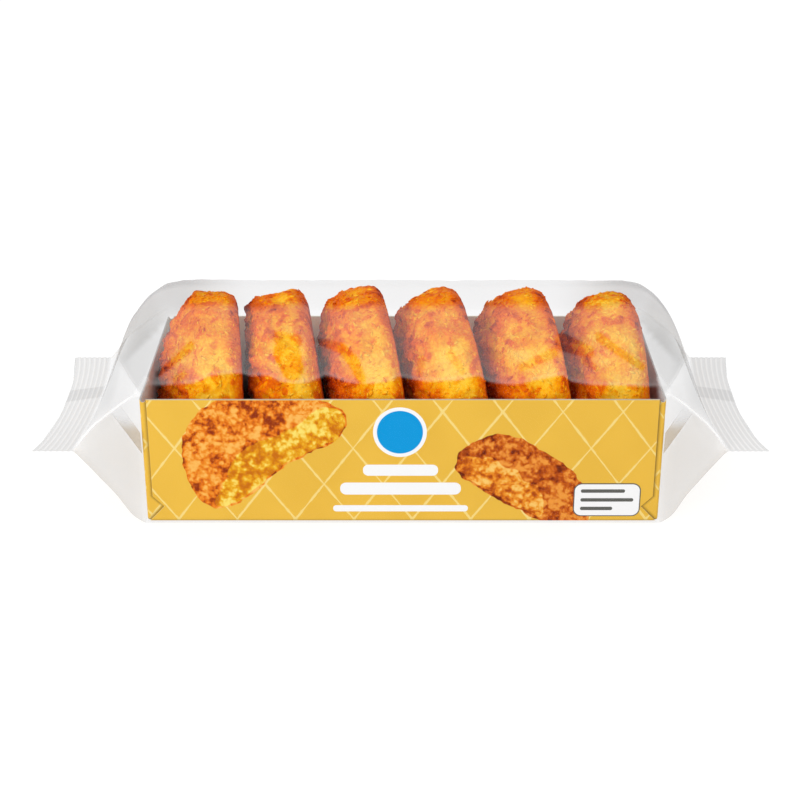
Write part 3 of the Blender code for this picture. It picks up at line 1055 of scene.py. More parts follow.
class Curve:
    """Smooth curve through (place, height) marks, without overshoot."""

    def __init__(self, marks: Sequence[Pair]) -> None:
        """Work out a gentle slope at each mark."""
        self.marks = list(marks)
        self.places = [place for place, _ in self.marks]
        steps = [(high - low) / (right - left) for (left, low), (right, high) in zip(marks, marks[1:])]
        self.slopes = [steps[0]]
        for before, after in zip(steps, steps[1:]):
            same = before * after > 0
            self.slopes.append(2 * before * after / (before + after) if same else 0.0)
        self.slopes.append(steps[-1])

    def at(self, place: float) -> float:
        """Height at a place, flat beyond the first and last marks."""
        marks = self.marks
        if place <= marks[0][0]:
            return marks[0][1]
        if place >= marks[-1][0]:
            return marks[-1][1]
        index = bisect.bisect_right(self.places, place) - 1
        (left, low), (right, high) = marks[index], marks[index + 1]
        span = right - left
        t = (place - left) / span
        return ((2 * t ** 3 - 3 * t ** 2 + 1) * low + (t ** 3 - 2 * t ** 2 + t) * span * self.slopes[index]
                + (3 * t ** 2 - 2 * t ** 3) * high + (t ** 3 - t ** 2) * span * self.slopes[index + 1])


@dataclass(frozen=True)
class Streak:
    """Straight mark on the film's front, from one (x, z) point to another, in millimetres."""

    start: Pair
    end: Pair
    width: float
    end_width: float
    strength: float = 1.0

    def cover(self, x: float, z: float) -> float:
        """How much of the mark lies at a point, given in millimetres, 0 to its strength."""
        start = Vector(self.start)
        run = Vector(self.end) - start
        off = Vector((x, z)) - start
        along = min(1.0, max(0.0, off.dot(run) / run.length_squared))
        half = (self.width + (self.end_width - self.width) * along) / 2
        return self.strength * ease(half + 0.5, half - 0.3, (off - run * along).length)


@dataclass(frozen=True)
class Veil:
    """Broad soft reflection on the front of the arch, with a scalloped foot and clear streaks in it."""

    strength: float = 0.088
    upper: Pair = (-11.5, -17.5)
    upper_wave: float = 2.5
    upper_wave_size: float = 14.0
    edge: Pair = (-0.3, 0.7)
    rim: float = 0.45
    rim_height: float = 0.6
    rim_width: float = 0.7
    grain: float = 0.25
    grain_size: Pair = (9.0, 5.0)
    left_end: Pair = (-86.0, -79.0)
    foot: Pairs = (
        (-84.0, 51.3), (-79.0, 51.6), (-69.0, 52.1), (-62.0, 54.5), (-53.0, 55.2), (-49.5, 54.4),
        (-44.0, 54.5), (-39.5, 52.7), (-33.0, 52.1), (-27.5, 53.4), (-24.7, 54.5), (-22.0, 53.9),
        (-16.5, 52.3), (-11.0, 52.1), (-2.7, 53.0), (-1.0, 54.2), (3.8, 53.4), (9.2, 52.7), (18.0, 53.0),
        (25.7, 54.3), (29.0, 52.7), (36.8, 51.8), (45.0, 53.1), (51.0, 54.2), (53.3, 54.5), (56.6, 52.7),
        (64.3, 51.6), (79.7, 51.2), (86.0, 51.0))
    gaps: tuple[Streak, ...] = (
        Streak((-80.0, 55.0), (-69.5, 62.5), 1.6, 2.2, 0.85),
        Streak((-74.0, 53.2), (-71.5, 55.0), 2.4, 2.0, 0.6),
        Streak((-41.0, 64.6), (-34.5, 63.6), 2.6, 3.2, 0.75),
        Streak((-37.6, 61.0), (-35.6, 56.6), 8.6, 7.0, 0.95),
        Streak((-28.5, 63.8), (-19.5, 62.0), 1.0, 2.6, 0.7),
        Streak((-19.5, 62.0), (-15.3, 58.3), 2.6, 3.4, 0.9),
        Streak((-15.3, 58.3), (-13.0, 53.8), 3.4, 3.0, 0.9),
        Streak((7.0, 59.0), (6.0, 54.8), 2.4, 1.6, 0.4),
        Streak((16.5, 60.5), (20.4, 56.0), 2.6, 2.0, 0.4),
        Streak((40.0, 57.0), (51.0, 61.0), 2.0, 2.4, 0.6),
        Streak((53.4, 63.5), (62.5, 61.0), 4.2, 3.0, 0.7),
        Streak((66.0, 64.6), (79.6, 57.2), 2.2, 2.0, 0.75),
        Streak((61.0, 58.8), (64.5, 56.8), 2.4, 1.6, 0.45),
    )

    def cover(self, foot: Curve, x: float, y: float, z: float) -> float:
        """White of the veil at a point on the film, in millimetres, above its foot line."""
        if y > 0:
            return 0.0
        over = z - foot.at(x)
        wave = self.upper_wave * noise.noise(Vector((x / self.upper_wave_size, 3.0, 0.0)))
        inside = ease(*self.edge, over) * ease(*self.upper, y + wave) * ease(*self.left_end, x)
        gap = max(streak.cover(x, z) for streak in self.gaps)
        grain = 1 + self.grain * noise.noise(Vector((x / self.grain_size[0], z / self.grain_size[1], 8.0)))
        rim = self.rim * hill(over, self.rim_height, self.rim_width)
        return self.strength * inside * (1 - gap) * (grain + rim)


@dataclass(frozen=True)
class Shade:
    """Part of the sleeve's haze and painted light, with lengths in millimetres and angles in degrees.

    A band is (measure, low, high): the shade sets in from low to high, and
    fades out where the higher end comes first. The peak is (measure, middle,
    width) of a rounded hill.
    """

    strength: float
    bands: tuple[tuple[str, float, float], ...]
    peak: Optional[tuple[str, float, float]] = None

    def cover(self, measures: dict[str, float]) -> float:
        """How much of it covers a point with these measures."""
        value = self.strength
        for measure, low, high in self.bands:
            value *= ease(low, high, measures[measure])
        if self.peak:
            measure, middle, width = self.peak
            value *= hill(measures[measure], middle, width)
        return value


FRONT = ("y", 3.0, -3.0)
BEHIND = ("y", -3.0, 3.0)
LAP_SEAM = (("y", 3.3, 3.9), ("y", 13.7, 13.1))
ARCH = ("over_rim", 0.0, 3.0)
ON_TOP = ("on_top", 0.0, 1.0)


@dataclass(frozen=True)
class FilmHazeAndSheen:
    """Haze and painted light of the sleeve: painted grey shade and reflection, painted highlights at the fin
    roots and a rim corner, beige end folds partly of more film and partly painted shade, and fluted fins with
    painted highlights and shade.

    The grey lies, in order, on the back of the arch, at its middle, on the
    front of its ends and of the slopes past them, on the shoulders, thinly
    past the tray, and on the lap seam below it. All but the seam's grey is painted shade and reflection.
    """

    # Painted grey shade and reflection, and last the grey of the lap seam.
    grey_haze_and_shade: tuple[Shade, ...] = (
        Shade(0.315, (BEHIND, ("over_rim", -4.0, -1.0), ("reach", -34.0, -6.0), ("reach", 23.0, 11.0))),
        Shade(0.045, (BEHIND, ARCH, ("reach", -16.0, -32.0))),
        Shade(0.285, (FRONT, ARCH, ("past_edge", -1.5, 1.5), ("reach", 14.0, 9.0), ("degrees", 72.0, 40.0),
                      ("over_climb", -3.0, 3.0))),
        Shade(0.17, (FRONT, ARCH, ("reach", 5.0, 12.0), ("past_root", 0.0, -3.0), ("degrees", -5.0, 30.0),
                     ("degrees", 72.0, 45.0))),
        Shade(0.06, (FRONT, ARCH), ("reach", 9.5, 4.0)),
        Shade(0.055, (("reach", 0.5, 5.0), ("past_root", 0.0, -6.0))),
        Shade(0.1, (*LAP_SEAM, ("over_belly", 1.5, 0.5), ("reach", 4.0, -2.0))))
    edge_start: float = -3.0
    edge_lean: Shade = Shade(6.5, (("degrees", 12.0, 55.0),))
    climb_start: float = 9.0
    climb: float = 5.3
    # Beige end folds: partly more layers of film, partly painted shade, deeper low down and near the belly.
    beige: Shade = Shade(0.13, (("reach", 0.0, 2.0), ("past_root", 0.5, -1.0), ("across", 0.97, 0.995),
                                ("over_crease", 0.4, -0.4), ("over_line", 0.8, -0.8)))
    beige_line: float = 26.5
    beige_climb: float = 1.66
    beige_least: float = 0.3
    beige_more: tuple[Shade, ...] = (Shade(0.7, (("z", 6.0, 34.0),)), Shade(0.7, (("over_belly", 6.0, 0.0),)))
    beige_front: Shade = Shade(0.8, (BEHIND,))
    in_fin: Shade = Shade(1.0, (ON_TOP, ("past_root", -0.6, 0.6)))
    fin_cover: float = 0.7
    # The fins' tone is painted: grey shade, highlights on the flute crests, and the right fin a little
    # lighter than the left.
    fin_grey: float = 0.39
    fin_side: float = 0.025
    fin_shine: Shade = Shade(0.27, (("across", 0.995, 0.975),))
    shine_power: int = 4
    shine_phase: float = 0.6
    fin_lap: Shade = Shade(0.2, LAP_SEAM)
    # Painted highlight along the fin's root.
    root: Shade = Shade(0.14, (ON_TOP,), ("past_root", -2.0, 2.2))
    # Painted highlight near the tray's rim corner, on the front.
    corner: Streak = Streak((-2.8, 53.5), (0.2, 48.9), 1.6, 2.2, 0.2)
    front: Shade = Shade(1.0, (FRONT,))
    most: float = 0.95

    def warmth(self, measures: dict[str, float]) -> float:
        """Beige of the upright folds past the tray's ends, below a slanting line: partly more layers of film,
        partly painted shade.
        """
        more = self.beige_least + sum(shade.cover(measures) for shade in self.beige_more)
        return self.beige.cover(measures) * more * (1 - self.beige_front.cover(measures))

    def fin_tone(self, measures: dict[str, float], side: int) -> float:
        """Painted tone in the fin: painted highlights along the flutes, painted grey shade lighter on the
        right fin, and grey on the seam.
        """
        flute = 0.5 + 0.5 * math.sin(2 * math.pi * measures["flutes"] + self.shine_phase)
        shine = self.fin_shine.cover(measures) * flute ** self.shine_power
        return 1 - (self.fin_grey - self.fin_side * side - shine + self.fin_lap.cover(measures))

    def cloud(self, measures: dict[str, float], side: int, veil: float) -> Triple:
        """Whitening and greying of the film at a point, mostly painted reflections, highlights and shade.

        Args:
            measures: How the point lies on the sleeve.
            side: -1 at the left end and 1 at the right.
            veil: White of the veil there.

        Returns:
            How much haze and painted light covers the film, its tone from grey to white, and how warm it is.
        """
        reach, degrees, z = measures["reach"], measures["degrees"], measures["z"]
        measures["past_edge"] = reach - self.edge_start + self.edge_lean.cover(measures)
        measures["over_climb"] = degrees - self.climb_start - self.climb * reach
        measures["over_line"] = z - self.beige_line - self.beige_climb * reach
        in_fin = self.in_fin.cover(measures)
        # White: the veil's painted reflection, and painted highlights at the fin's root and the rim corner.
        white = veil + self.root.cover(measures) + self.corner.cover(reach, z) * self.front.cover(measures)
        # Grey: painted shade and reflection, and the grey of the lap seam.
        grey_haze_and_shade = sum(shade.cover(measures) for shade in self.grey_haze_and_shade) * (1 - in_fin)
        parts = ((white, 1.0, 0.0), (self.warmth(measures), 1.0, 1.0), (grey_haze_and_shade, 0.0, 0.0),
                 (self.fin_cover * in_fin, self.fin_tone(measures, side), 0.0))
        cover = sum(part for part, _, _ in parts)
        if cover < 1e-6:
            return 0.0, 0.5, 0.0
        light = sum(part * tone for part, tone, _ in parts)
        warm = sum(part * tone * heat for part, tone, heat in parts)
        return min(self.most, cover), light / cover, warm / max(1e-6, light)


@dataclass
class FilmSleeve:
    """Clear sleeve round the tray: an arch over the macaroons and a crimped fin at each end.

    The drops and rises are (reach past the tray's end, change of height) in millimetres.
    """

    tray_length: float = 175.0 * MM
    middle: float = 0.75 * MM
    half_depth: float = 38.6 * MM
    top: float = 72.2 * MM
    rim: float = 47.0 * MM
    back_power: float = 1.8
    crown_drops: Pairs = (
        (-10.0, 0.0), (-4.5, 1.3), (0.5, 4.8), (3.5, 8.0), (7.5, 13.4), (12.2, 23.0), (17.0, 33.5))
    crease_drops: Pairs = ((0.5, 0.0), (6.7, 2.4), (10.3, 5.0), (14.9, 8.7), (20.8, 16.0))
    belly_rises: Pairs = ((1.0, 0.0), (4.5, 2.7), (9.4, 10.5), (14.7, 17.6))
    fin_root: float = 23.0 * MM
    fin_width: float = 12.8 * MM
    right_shorter: float = 1.5 * MM
    fin_half_depth: float = 39.8 * MM
    fin_height: float = 28.3 * MM
    fin_gap: float = 0.3 * MM
    flutes: int = 7
    flute_rise: float = 0.06 * MM
    fin_bow: float = 2.4 * MM
    bow_start: float = 0.4
    fin_droop: float = 2.0 * MM
    fin_ear: float = 0.8 * MM
    ear_power: int = 6
    bottom_radius: float = 1.0 * MM
    radius_share: float = 0.4
    shoulder_start: float = -12.0 * MM
    body_step: float = 0.85 * MM
    shoulder_step: float = 0.6 * MM
    flute_steps: int = 8
    bottom_steps: int = 24
    corner_steps: int = 4
    side_steps: int = 16
    arch_steps: int = 144
    wave_rise: float = 0.35 * MM
    wave_size: Triple = (17.0 * MM, 13.0 * MM, 13.0 * MM)
    crease_rise: float = 0.22 * MM
    crease_size: Pair = (5.0 * MM, 24.0 * MM)
    crease_slant: Pair = (0.7, 0.4)
    slack_up: float = 8.0 * MM
    loose_in: Pair = (-6.0 * MM, 10.0 * MM)
    loose_out: float = 5.0 * MM
    looser: float = 1.2
    veil: Veil = Veil()
    # Haze of the sleeve, with its painted reflections, highlights and shade.
    haze: FilmHazeAndSheen = FilmHazeAndSheen()

    def __post_init__(self) -> None:
        """Set out the sleeve's long profiles as curves of the reach past the tray's end."""
        fin_top, fin_under = (self.fin_height + way * self.fin_gap / 2 for way in (1, -1))
        self.crown = self.profile(self.top, -1, self.crown_drops, fin_top)
        self.crease = self.profile(self.rim, -1, self.crease_drops, fin_top)
        self.belly = self.profile(0.0, 1, self.belly_rises, fin_under)
        self.veil_foot = Curve(self.veil.foot)

    def profile(self, level: float, way: int, changes: Sequence[Pair], last: float) -> Curve:
        """Curve that leaves a level by its changes, up or down by way, and ends at the fin's root."""
        marks = [(reach * MM, level + way * change * MM) for reach, change in changes]
        return Curve(marks + [(self.fin_root, last)])

    def half_width(self, reach: float) -> float:
        """Half depth of the sleeve at a reach past the tray's end."""
        return self.half_depth + (self.fin_half_depth - self.half_depth) * ease(0.0, self.fin_root, reach)

    def section(self, reach: float) -> list[Pair]:
        """Ring of (y, z) points, from the underside's front corner round the back and over the arch."""
        width = self.half_width(reach)
        belly, crease, crown = self.belly.at(reach), self.crease.at(reach), self.crown.at(reach)
        radius = min(self.bottom_radius, self.radius_share * (crease - belly))
        flat = width - radius
        ring = [(-flat + 2 * flat * step / self.bottom_steps, belly) for step in range(self.bottom_steps)]
        for step in range(self.corner_steps):
            angle = math.pi / 2 * step / self.corner_steps
            ring.append((flat + radius * math.sin(angle), belly + radius * (1 - math.cos(angle))))
        low = belly + radius
        rise = (crease - low) / self.side_steps
        ring += [(width, low + rise * step) for step in range(self.side_steps)]
        for step in range(self.arch_steps):
            angle = math.pi * step / self.arch_steps
            power = self.back_power if angle < math.pi / 2 else 1.0
            ring.append((width * math.cos(angle), crease + (crown - crease) * math.sin(angle) ** power))
        ring += [(-width, crease - rise * step) for step in range(self.side_steps)]
        for step in range(self.corner_steps):
            angle = math.pi / 2 * step / self.corner_steps
            ring.append((-flat - radius * math.cos(angle), belly + radius * (1 - math.sin(angle))))
        return ring

    def reaches(self) -> list[float]:
        """Reach of each station of one half, from the pack's middle out to the fin's edge."""
        def spread(low: float, high: float, step: float) -> list[float]:
            """Even places from low up to, but without, high."""
            count = max(1, round((high - low) / step))
            return [low + (high - low) * index / count for index in range(count)]

        inner = spread(-self.tray_length / 2, self.shoulder_start, self.body_step)
        inner += spread(self.shoulder_start, self.fin_root, self.shoulder_step)
        count = self.flutes * self.flute_steps
        return inner + [self.fin_root + self.fin_width * step / count for step in range(count + 1)]

    def slack(self, x: float, y: float, z: float, reach: float) -> float:
        """How far loose film stands off its plain form."""
        up = ease(self.rim, self.rim + self.slack_up, z)
        wide, deep, high = self.wave_size
        waves = self.wave_rise * noise.noise(Vector((x / wide, y / deep, z / high)))
        (short, long), (over, back) = self.crease_size, self.crease_slant
        creases = noise.noise(Vector(((x + over * y) / short, (y - back * x) / long, 4.0)))
        creases *= self.crease_rise
        loose = ease(*self.loose_in, reach) * ease(self.fin_root, self.fin_root - self.loose_out, reach)
        return up * (waves + creases) + loose * creases * self.looser

    def place(self, side: int, reach: float, y: float, z: float) -> Vector:
        """Point of the sleeve in space, with the fin's flutes, bow, droop and flared corners."""
        shorter = self.right_shorter if side > 0 else 0.0
        squeeze = shorter * ease(0.0, self.fin_root, reach)
        in_fin = min(1.0, max(0.0, (reach - self.fin_root) / self.fin_width))
        across = min(1.0, abs(y) / self.fin_half_depth)
        open_middle = 1 - across * across
        bow = self.fin_bow * open_middle * ease(self.bow_start * self.fin_root, self.fin_root, reach)
        ear = self.fin_ear * in_fin * across ** self.ear_power
        x = self.middle + side * (self.tray_length / 2 + reach - squeeze - bow + ear)
        flute = self.flute_rise * math.sin(2 * math.pi * self.flutes * in_fin) if in_fin > 0 else 0.0
        return Vector((x, y, z + flute - self.fin_droop * open_middle * in_fin))

    def skin(self, side: int, reach: float, y: float, z: float) -> Vector:
        """Point of the sleeve in space, with its slack."""
        spot = self.place(side, reach, y, z)
        out = Vector((0.0, y, max(0.0, z - self.rim))).normalized()
        return spot + out * self.slack(spot.x, y, z, reach)

    def build(self, film: Material) -> None:
        """Model the sleeve as one closed skin."""
        half = self.reaches()
        stations = [(-1, reach) for reach in reversed(half)] + [(1, reach) for reach in half[1:]]
        around = len(self.section(0.0))
        rows = [self.section(reach) for _, reach in stations]
        bm = bmesh.new()
        bmesh.ops.create_grid(bm, x_segments=len(stations) - 1, y_segments=around, size=1.0)
        layers = [bm.verts.layers.float.new(layer) for layer in HAZE_AND_SHEEN_LAYERS]
        for vert in bm.verts:
            row = round((vert.co.x + 1) / 2 * (len(stations) - 1))
            turn = round((vert.co.y + 1) / 2 * around) % around
            side, reach = stations[row]
            y, z = rows[row][turn]
            vert.co = self.skin(side, reach, y, z)
            for layer, value in zip(layers, self.cloud(side, reach, vert.co.x, y, z)):
                vert[layer] = value
        bmesh.ops.remove_doubles(bm, verts=bm.verts, dist=0.002 * MM)
        open_ends = [edge for edge in bm.edges if edge.is_boundary]
        bmesh.ops.holes_fill(bm, edges=open_ends, sides=0)
        bmesh.ops.recalc_face_normals(bm, faces=bm.faces)
        sleeve = add_piece("film_sleeve", bm, [film])
        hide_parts("film_wrap")

    def cloud(self, side: int, reach: float, x: float, y: float, z: float) -> Triple:
        """Cover, tone and warmth of the haze and painted light at a point.

        Args:
            side: -1 at the left end and 1 at the right.
            reach: Distance past the tray's end.
            x: Place along the pack.
            y: Place across the pack.
            z: Height.

        Returns:
            The three, each from 0 to 1.
        """
        belly, crease, crown = self.belly.at(reach), self.crease.at(reach), self.crown.at(reach)
        up_arch = min(1.0, max(0.0, (z - crease) / max(crown - crease, 0.1 * MM)))
        lengths = {"x": x, "y": y, "z": z, "reach": reach, "past_root": reach - self.fin_root,
                   "over_rim": z + max(0.0, reach) - self.rim, "over_belly": z - belly,
                   "over_crease": z - crease}
        measures = {name: length / MM for name, length in lengths.items()}
        measures["across"] = abs(y) / self.half_width(reach)
        measures["degrees"] = math.degrees(math.asin(up_arch))
        measures["on_top"] = 1.0 if z > self.fin_height else 0.0
        measures["flutes"] = (reach - self.fin_root) / self.fin_width * self.flutes
        veil = self.veil.cover(self.veil_foot, measures["x"], measures["y"], measures["z"])
        return self.haze.cloud(measures, side, veil)

    def wall_point(self, side: int, facing: int, reach: float, z: float) -> Vector:
        """Point on the sleeve's upright front or back wall."""
        return self.skin(side, reach, facing * self.half_width(reach), z)

    def arch_point(self, side: int, facing: int, reach: float, degrees: float) -> Vector:
        """Point on the sleeve's arch, a number of degrees up from its fold."""
        crease, crown = self.crease.at(reach), self.crown.at(reach)
        angle = math.radians(degrees)
        y = facing * self.half_width(reach) * math.cos(angle)
        return self.skin(side, reach, y, crease + (crown - crease) * math.sin(angle))


@dataclass(frozen=True)
class FoldLine:
    """Painted line along a fold of the film at each end of the pack: a painted highlight at tone 1, and
    painted shade at tone 0.

    Its points are (reach past the tray's end, height) in millimetres on the
    wall, or (reach, degrees) on the arch. It fades out at both its sides.
    """

    points: Pairs
    width: float
    strength: float
    tone: float = 1.0
    on_arch: bool = False


@dataclass
class FilmFolds:
    """Folds at the sleeve's ends: lines of painted highlight and shade, and a tucked flap inside each wall.
    """

    sleeve: FilmSleeve
    # Painted fold lines: a highlight along the crease, and a thin line of shade on the arch.
    lines: tuple[FoldLine, ...] = (
        FoldLine(((-0.2, 49.0), (2.8, 47.4), (6.3, 45.0), (10.1, 42.0), (14.9, 38.3), (18.5, 34.4),
                  (20.8, 31.4), (22.6, 28.6)), width=1.2, strength=0.4),
        FoldLine(((8.2, 53.0), (3.0, 24.0), (-0.2, 8.0)), width=0.5, strength=0.14, tone=0.0, on_arch=True),
    )
    line_steps: int = 6
    line_outside: float = 0.12 * MM
    line_fade: float = 0.25
    line_least: float = 0.3
    back_share: float = 0.3
    flap: Pairs = ((9.7, 42.4), (6.3, 45.1), (0.2, 34.4), (0.1, 26.6))
    flap_steps: int = 16
    flap_inside: float = 0.25 * MM
    flap_fade: float = 0.2
    # The flap's grey and tan towards the tray are painted shade.
    flap_haze: Pair = (0.12, 0.66)
    flap_tone: float = 0.35
    tan_band: Pair = (-0.1, 0.5)
    tan_slant: float = 0.42

    @staticmethod
    def soft_grid(wide: int, deep: int) -> tuple[BMesh, list[Any]]:
        """Grid of that many squares, and its layers of haze and painted light, tone and warmth."""
        bm = bmesh.new()
        bmesh.ops.create_grid(bm, x_segments=wide, y_segments=deep, size=1.0)
        return bm, [bm.verts.layers.float.new(layer) for layer in HAZE_AND_SHEEN_LAYERS]

    def build_line(self, name: str, line: FoldLine, side: int, facing: int, film: Material) -> None:
        """Lay one painted fold line as a thin soft strip on the film.

        Args:
            name: The piece's name.
            line: The line.
            side: -1 at the left end and 1 at the right.
            facing: -1 on the front and 1 on the back.
            film: Its material.
        """
        spots = [Vector(before).lerp(Vector(after), step / self.line_steps)
                 for before, after in zip(line.points, line.points[1:]) for step in range(self.line_steps)]
        spots.append(Vector(line.points[-1]))
        last = len(spots) - 1
        bm, layers = self.soft_grid(last, 4)
        if line.on_arch:
            path = [self.sleeve.arch_point(side, facing, reach * MM, up) for reach, up in spots]
        else:
            path = [self.sleeve.wall_point(side, facing, reach * MM, up * MM) for reach, up in spots]
        share = line.strength * (1.0 if facing < 0 else self.back_share)
        for vert in bm.verts:
            index = round((vert.co.x + 1) / 2 * last)
            across = vert.co.y
            here = path[index]
            rise = max(0.0, here.z - self.sleeve.crease.at(spots[index].x * MM)) if line.on_arch else 0.0
            outward = Vector((0.0, here.y, rise)).normalized()
            sideways = (path[min(last, index + 1)] - path[max(0, index - 1)]).cross(outward).normalized()
            end_fade = ease(0.0, self.line_fade, min(index, last - index) / last)
            vert.co = here + sideways * across * line.width * MM / 2 + outward * self.line_outside
            haze = share * (1 - across * across) * (self.line_least + (1 - self.line_least) * end_fade)
            for layer, value in zip(layers, (haze, line.tone, 0.0)):
                vert[layer] = value
        add_piece(name, bm, [film])

    def build_flap(self, name: str, side: int, facing: int, film: Material) -> None:
        """Lay the tucked flap inside the wall, with painted shade that makes it greyer and warmer towards the
        tray.

        Args:
            name: The piece's name.
            side: -1 at the left end and 1 at the right.
            facing: -1 at the front and 1 at the back.
            film: Its material.
        """
        bm, layers = self.soft_grid(self.flap_steps, self.flap_steps)
        first, second, third, fourth = (Vector(corner) for corner in self.flap)
        inside = Vector((0.0, -facing * self.flap_inside, 0.0))
        for vert in bm.verts:
            down, over = (vert.co.x + 1) / 2, (vert.co.y + 1) / 2
            spot = first.lerp(fourth, down).lerp(second.lerp(third, down), over)
            vert.co = self.sleeve.wall_point(side, facing, spot.x * MM, spot.y * MM) + inside
            tan = ease(*self.tan_band, down - self.tan_slant * over)
            haze = self.flap_haze[0] * ease(0.0, self.flap_fade, down) + self.flap_haze[1] * tan
            for layer, value in zip(layers, (haze, self.flap_tone + (1 - self.flap_tone) * tan, tan)):
                vert[layer] = value
        add_piece(name, bm, [film])

    def assemble(self, film: Material) -> None:
        """Lay the painted fold lines and flaps at both ends: all of them at the front, and a faint line at
        the back.
        """
        for side in Side:
            end = side.name.lower()
            for number, line in enumerate(self.lines, start=1):
                self.build_line(f"film_fold_{end}_{number}", line, side.value, -1, film)
            self.build_flap(f"film_flap_{end}", side.value, -1, film)
            self.build_line(f"film_fold_{end}_back", self.lines[0], side.value, 1, film)


# Print on the front panel
class Ink(Enum):
    """Printed inks, each by its colours as seen on screen, from light to dark."""

    WHITE = ((253, 253, 253),)
    BLUE = ((0, 156, 224),)
    GREY = ((100, 100, 96),)
    BAKED_BROWN = ((255, 190, 92), (246, 150, 40), (230, 112, 18), (146, 50, 8))
    CRUMB_YELLOW = ((255, 228, 112), (244, 184, 36), (230, 148, 14), (206, 112, 10))
    DARK_BROWN = ((244, 158, 62), (214, 106, 24), (180, 74, 12), (112, 36, 6))
    LIGHT_BROWN = ((255, 206, 110), (246, 164, 50), (230, 124, 22), (176, 74, 12))


@dataclass(frozen=True)
class InkFinish:
    """How inks lie on the card: one plain colour, or several in fine soft patches."""

    broad_scale: float = 600.0 / 3.5
    broad_share: float = 0.6
    fine_scale: float = 600.0
    fine_share: float = 0.55
    knob_scale: float = 420.0
    knob_bend: float = 4.2 * MM
    knob_share: float = 0.27
    middle: float = 0.725
    contrast: float = 0.17
    roughness: float = 0.45
    specular: float = 0.1

    def material(self, ink: Ink) -> Material:
        """Build an ink's material."""
        material, bench, shader = new_material(ink.name.lower().replace("_", " ") + " ink")
        colours = [card_tone(*seen) for seen in ink.value]
        shown: Any = colours[0]
        if len(colours) > 1:
            stops = [(place / (len(colours) - 1), colour) for place, colour in enumerate(colours)]
            shown = bench.ramp(self.patches(bench), stops)
        bench.feed_all(shader, {"Base Color": shown, "Roughness": self.roughness,
                                "Specular IOR Level": self.specular})
        return material

    def patches(self, bench: ShaderBench) -> Any:
        """Mask of broad clouds, fine specks and bent knobs."""
        point = bench.object_point()
        broad = bench.noise(point, self.broad_scale)
        fine = bench.noise(point, self.fine_scale, 4.0, 0.66)
        swirl = bench.add("TexNoise", {"Vector": point, "Scale": self.knob_scale, "Detail": 4.0})
        inputs = {0: swirl.outputs["Color"], 1: (self.knob_bend,) * 3, 2: point}
        bent = bench.add("VectorMath", inputs, operation="MULTIPLY_ADD").outputs[0]
        knobs = bench.add("TexVoronoi", {"Vector": bent, "Scale": self.knob_scale}).outputs["Distance"]
        tone = bench.math("MULTIPLY", fine, self.fine_share)
        tone = bench.math("MULTIPLY_ADD", broad, self.broad_share, tone)
        tone = bench.math("MULTIPLY_ADD", knobs, self.knob_share, tone)
        return bench.band(tone, self.middle - self.contrast, self.middle + self.contrast)


@dataclass(frozen=True)
class Blob:
    """Printed shape with a ragged outline through (x, z) points, in millimetres on the panel."""

    name: str
    ink: Ink
    layer: int
    ragged: float
    points: Pairs
    steps: int = 10
    ragged_size: float = 2.2
    seed_step: float = 5.0

    def outline(self) -> list[Pair]:
        """Smooth closed curve through the points, roughened."""
        count = len(self.points)
        lift = Vector((0.0, 0.0, self.layer * self.seed_step))
        ring = []
        for index in range(count):
            near = [Vector(self.points[(index + off) % count]) for off in (-1, 0, 1, 2)]
            before, here, after, beyond = near
            bend = 2 * before - 5 * here + 4 * after - beyond
            twist = 3 * here - before - 3 * after + beyond
            for step in range(self.steps):
                t = step / self.steps
                spot = 0.5 * (2 * here + (after - before) * t + bend * t ** 2 + twist * t ** 3)
                rough = noise.noise_vector((spot / self.ragged_size).to_3d() + lift)
                ring.append(((spot.x + self.ragged * rough.x) * MM, (spot.y + self.ragged * rough.y) * MM))
        return ring


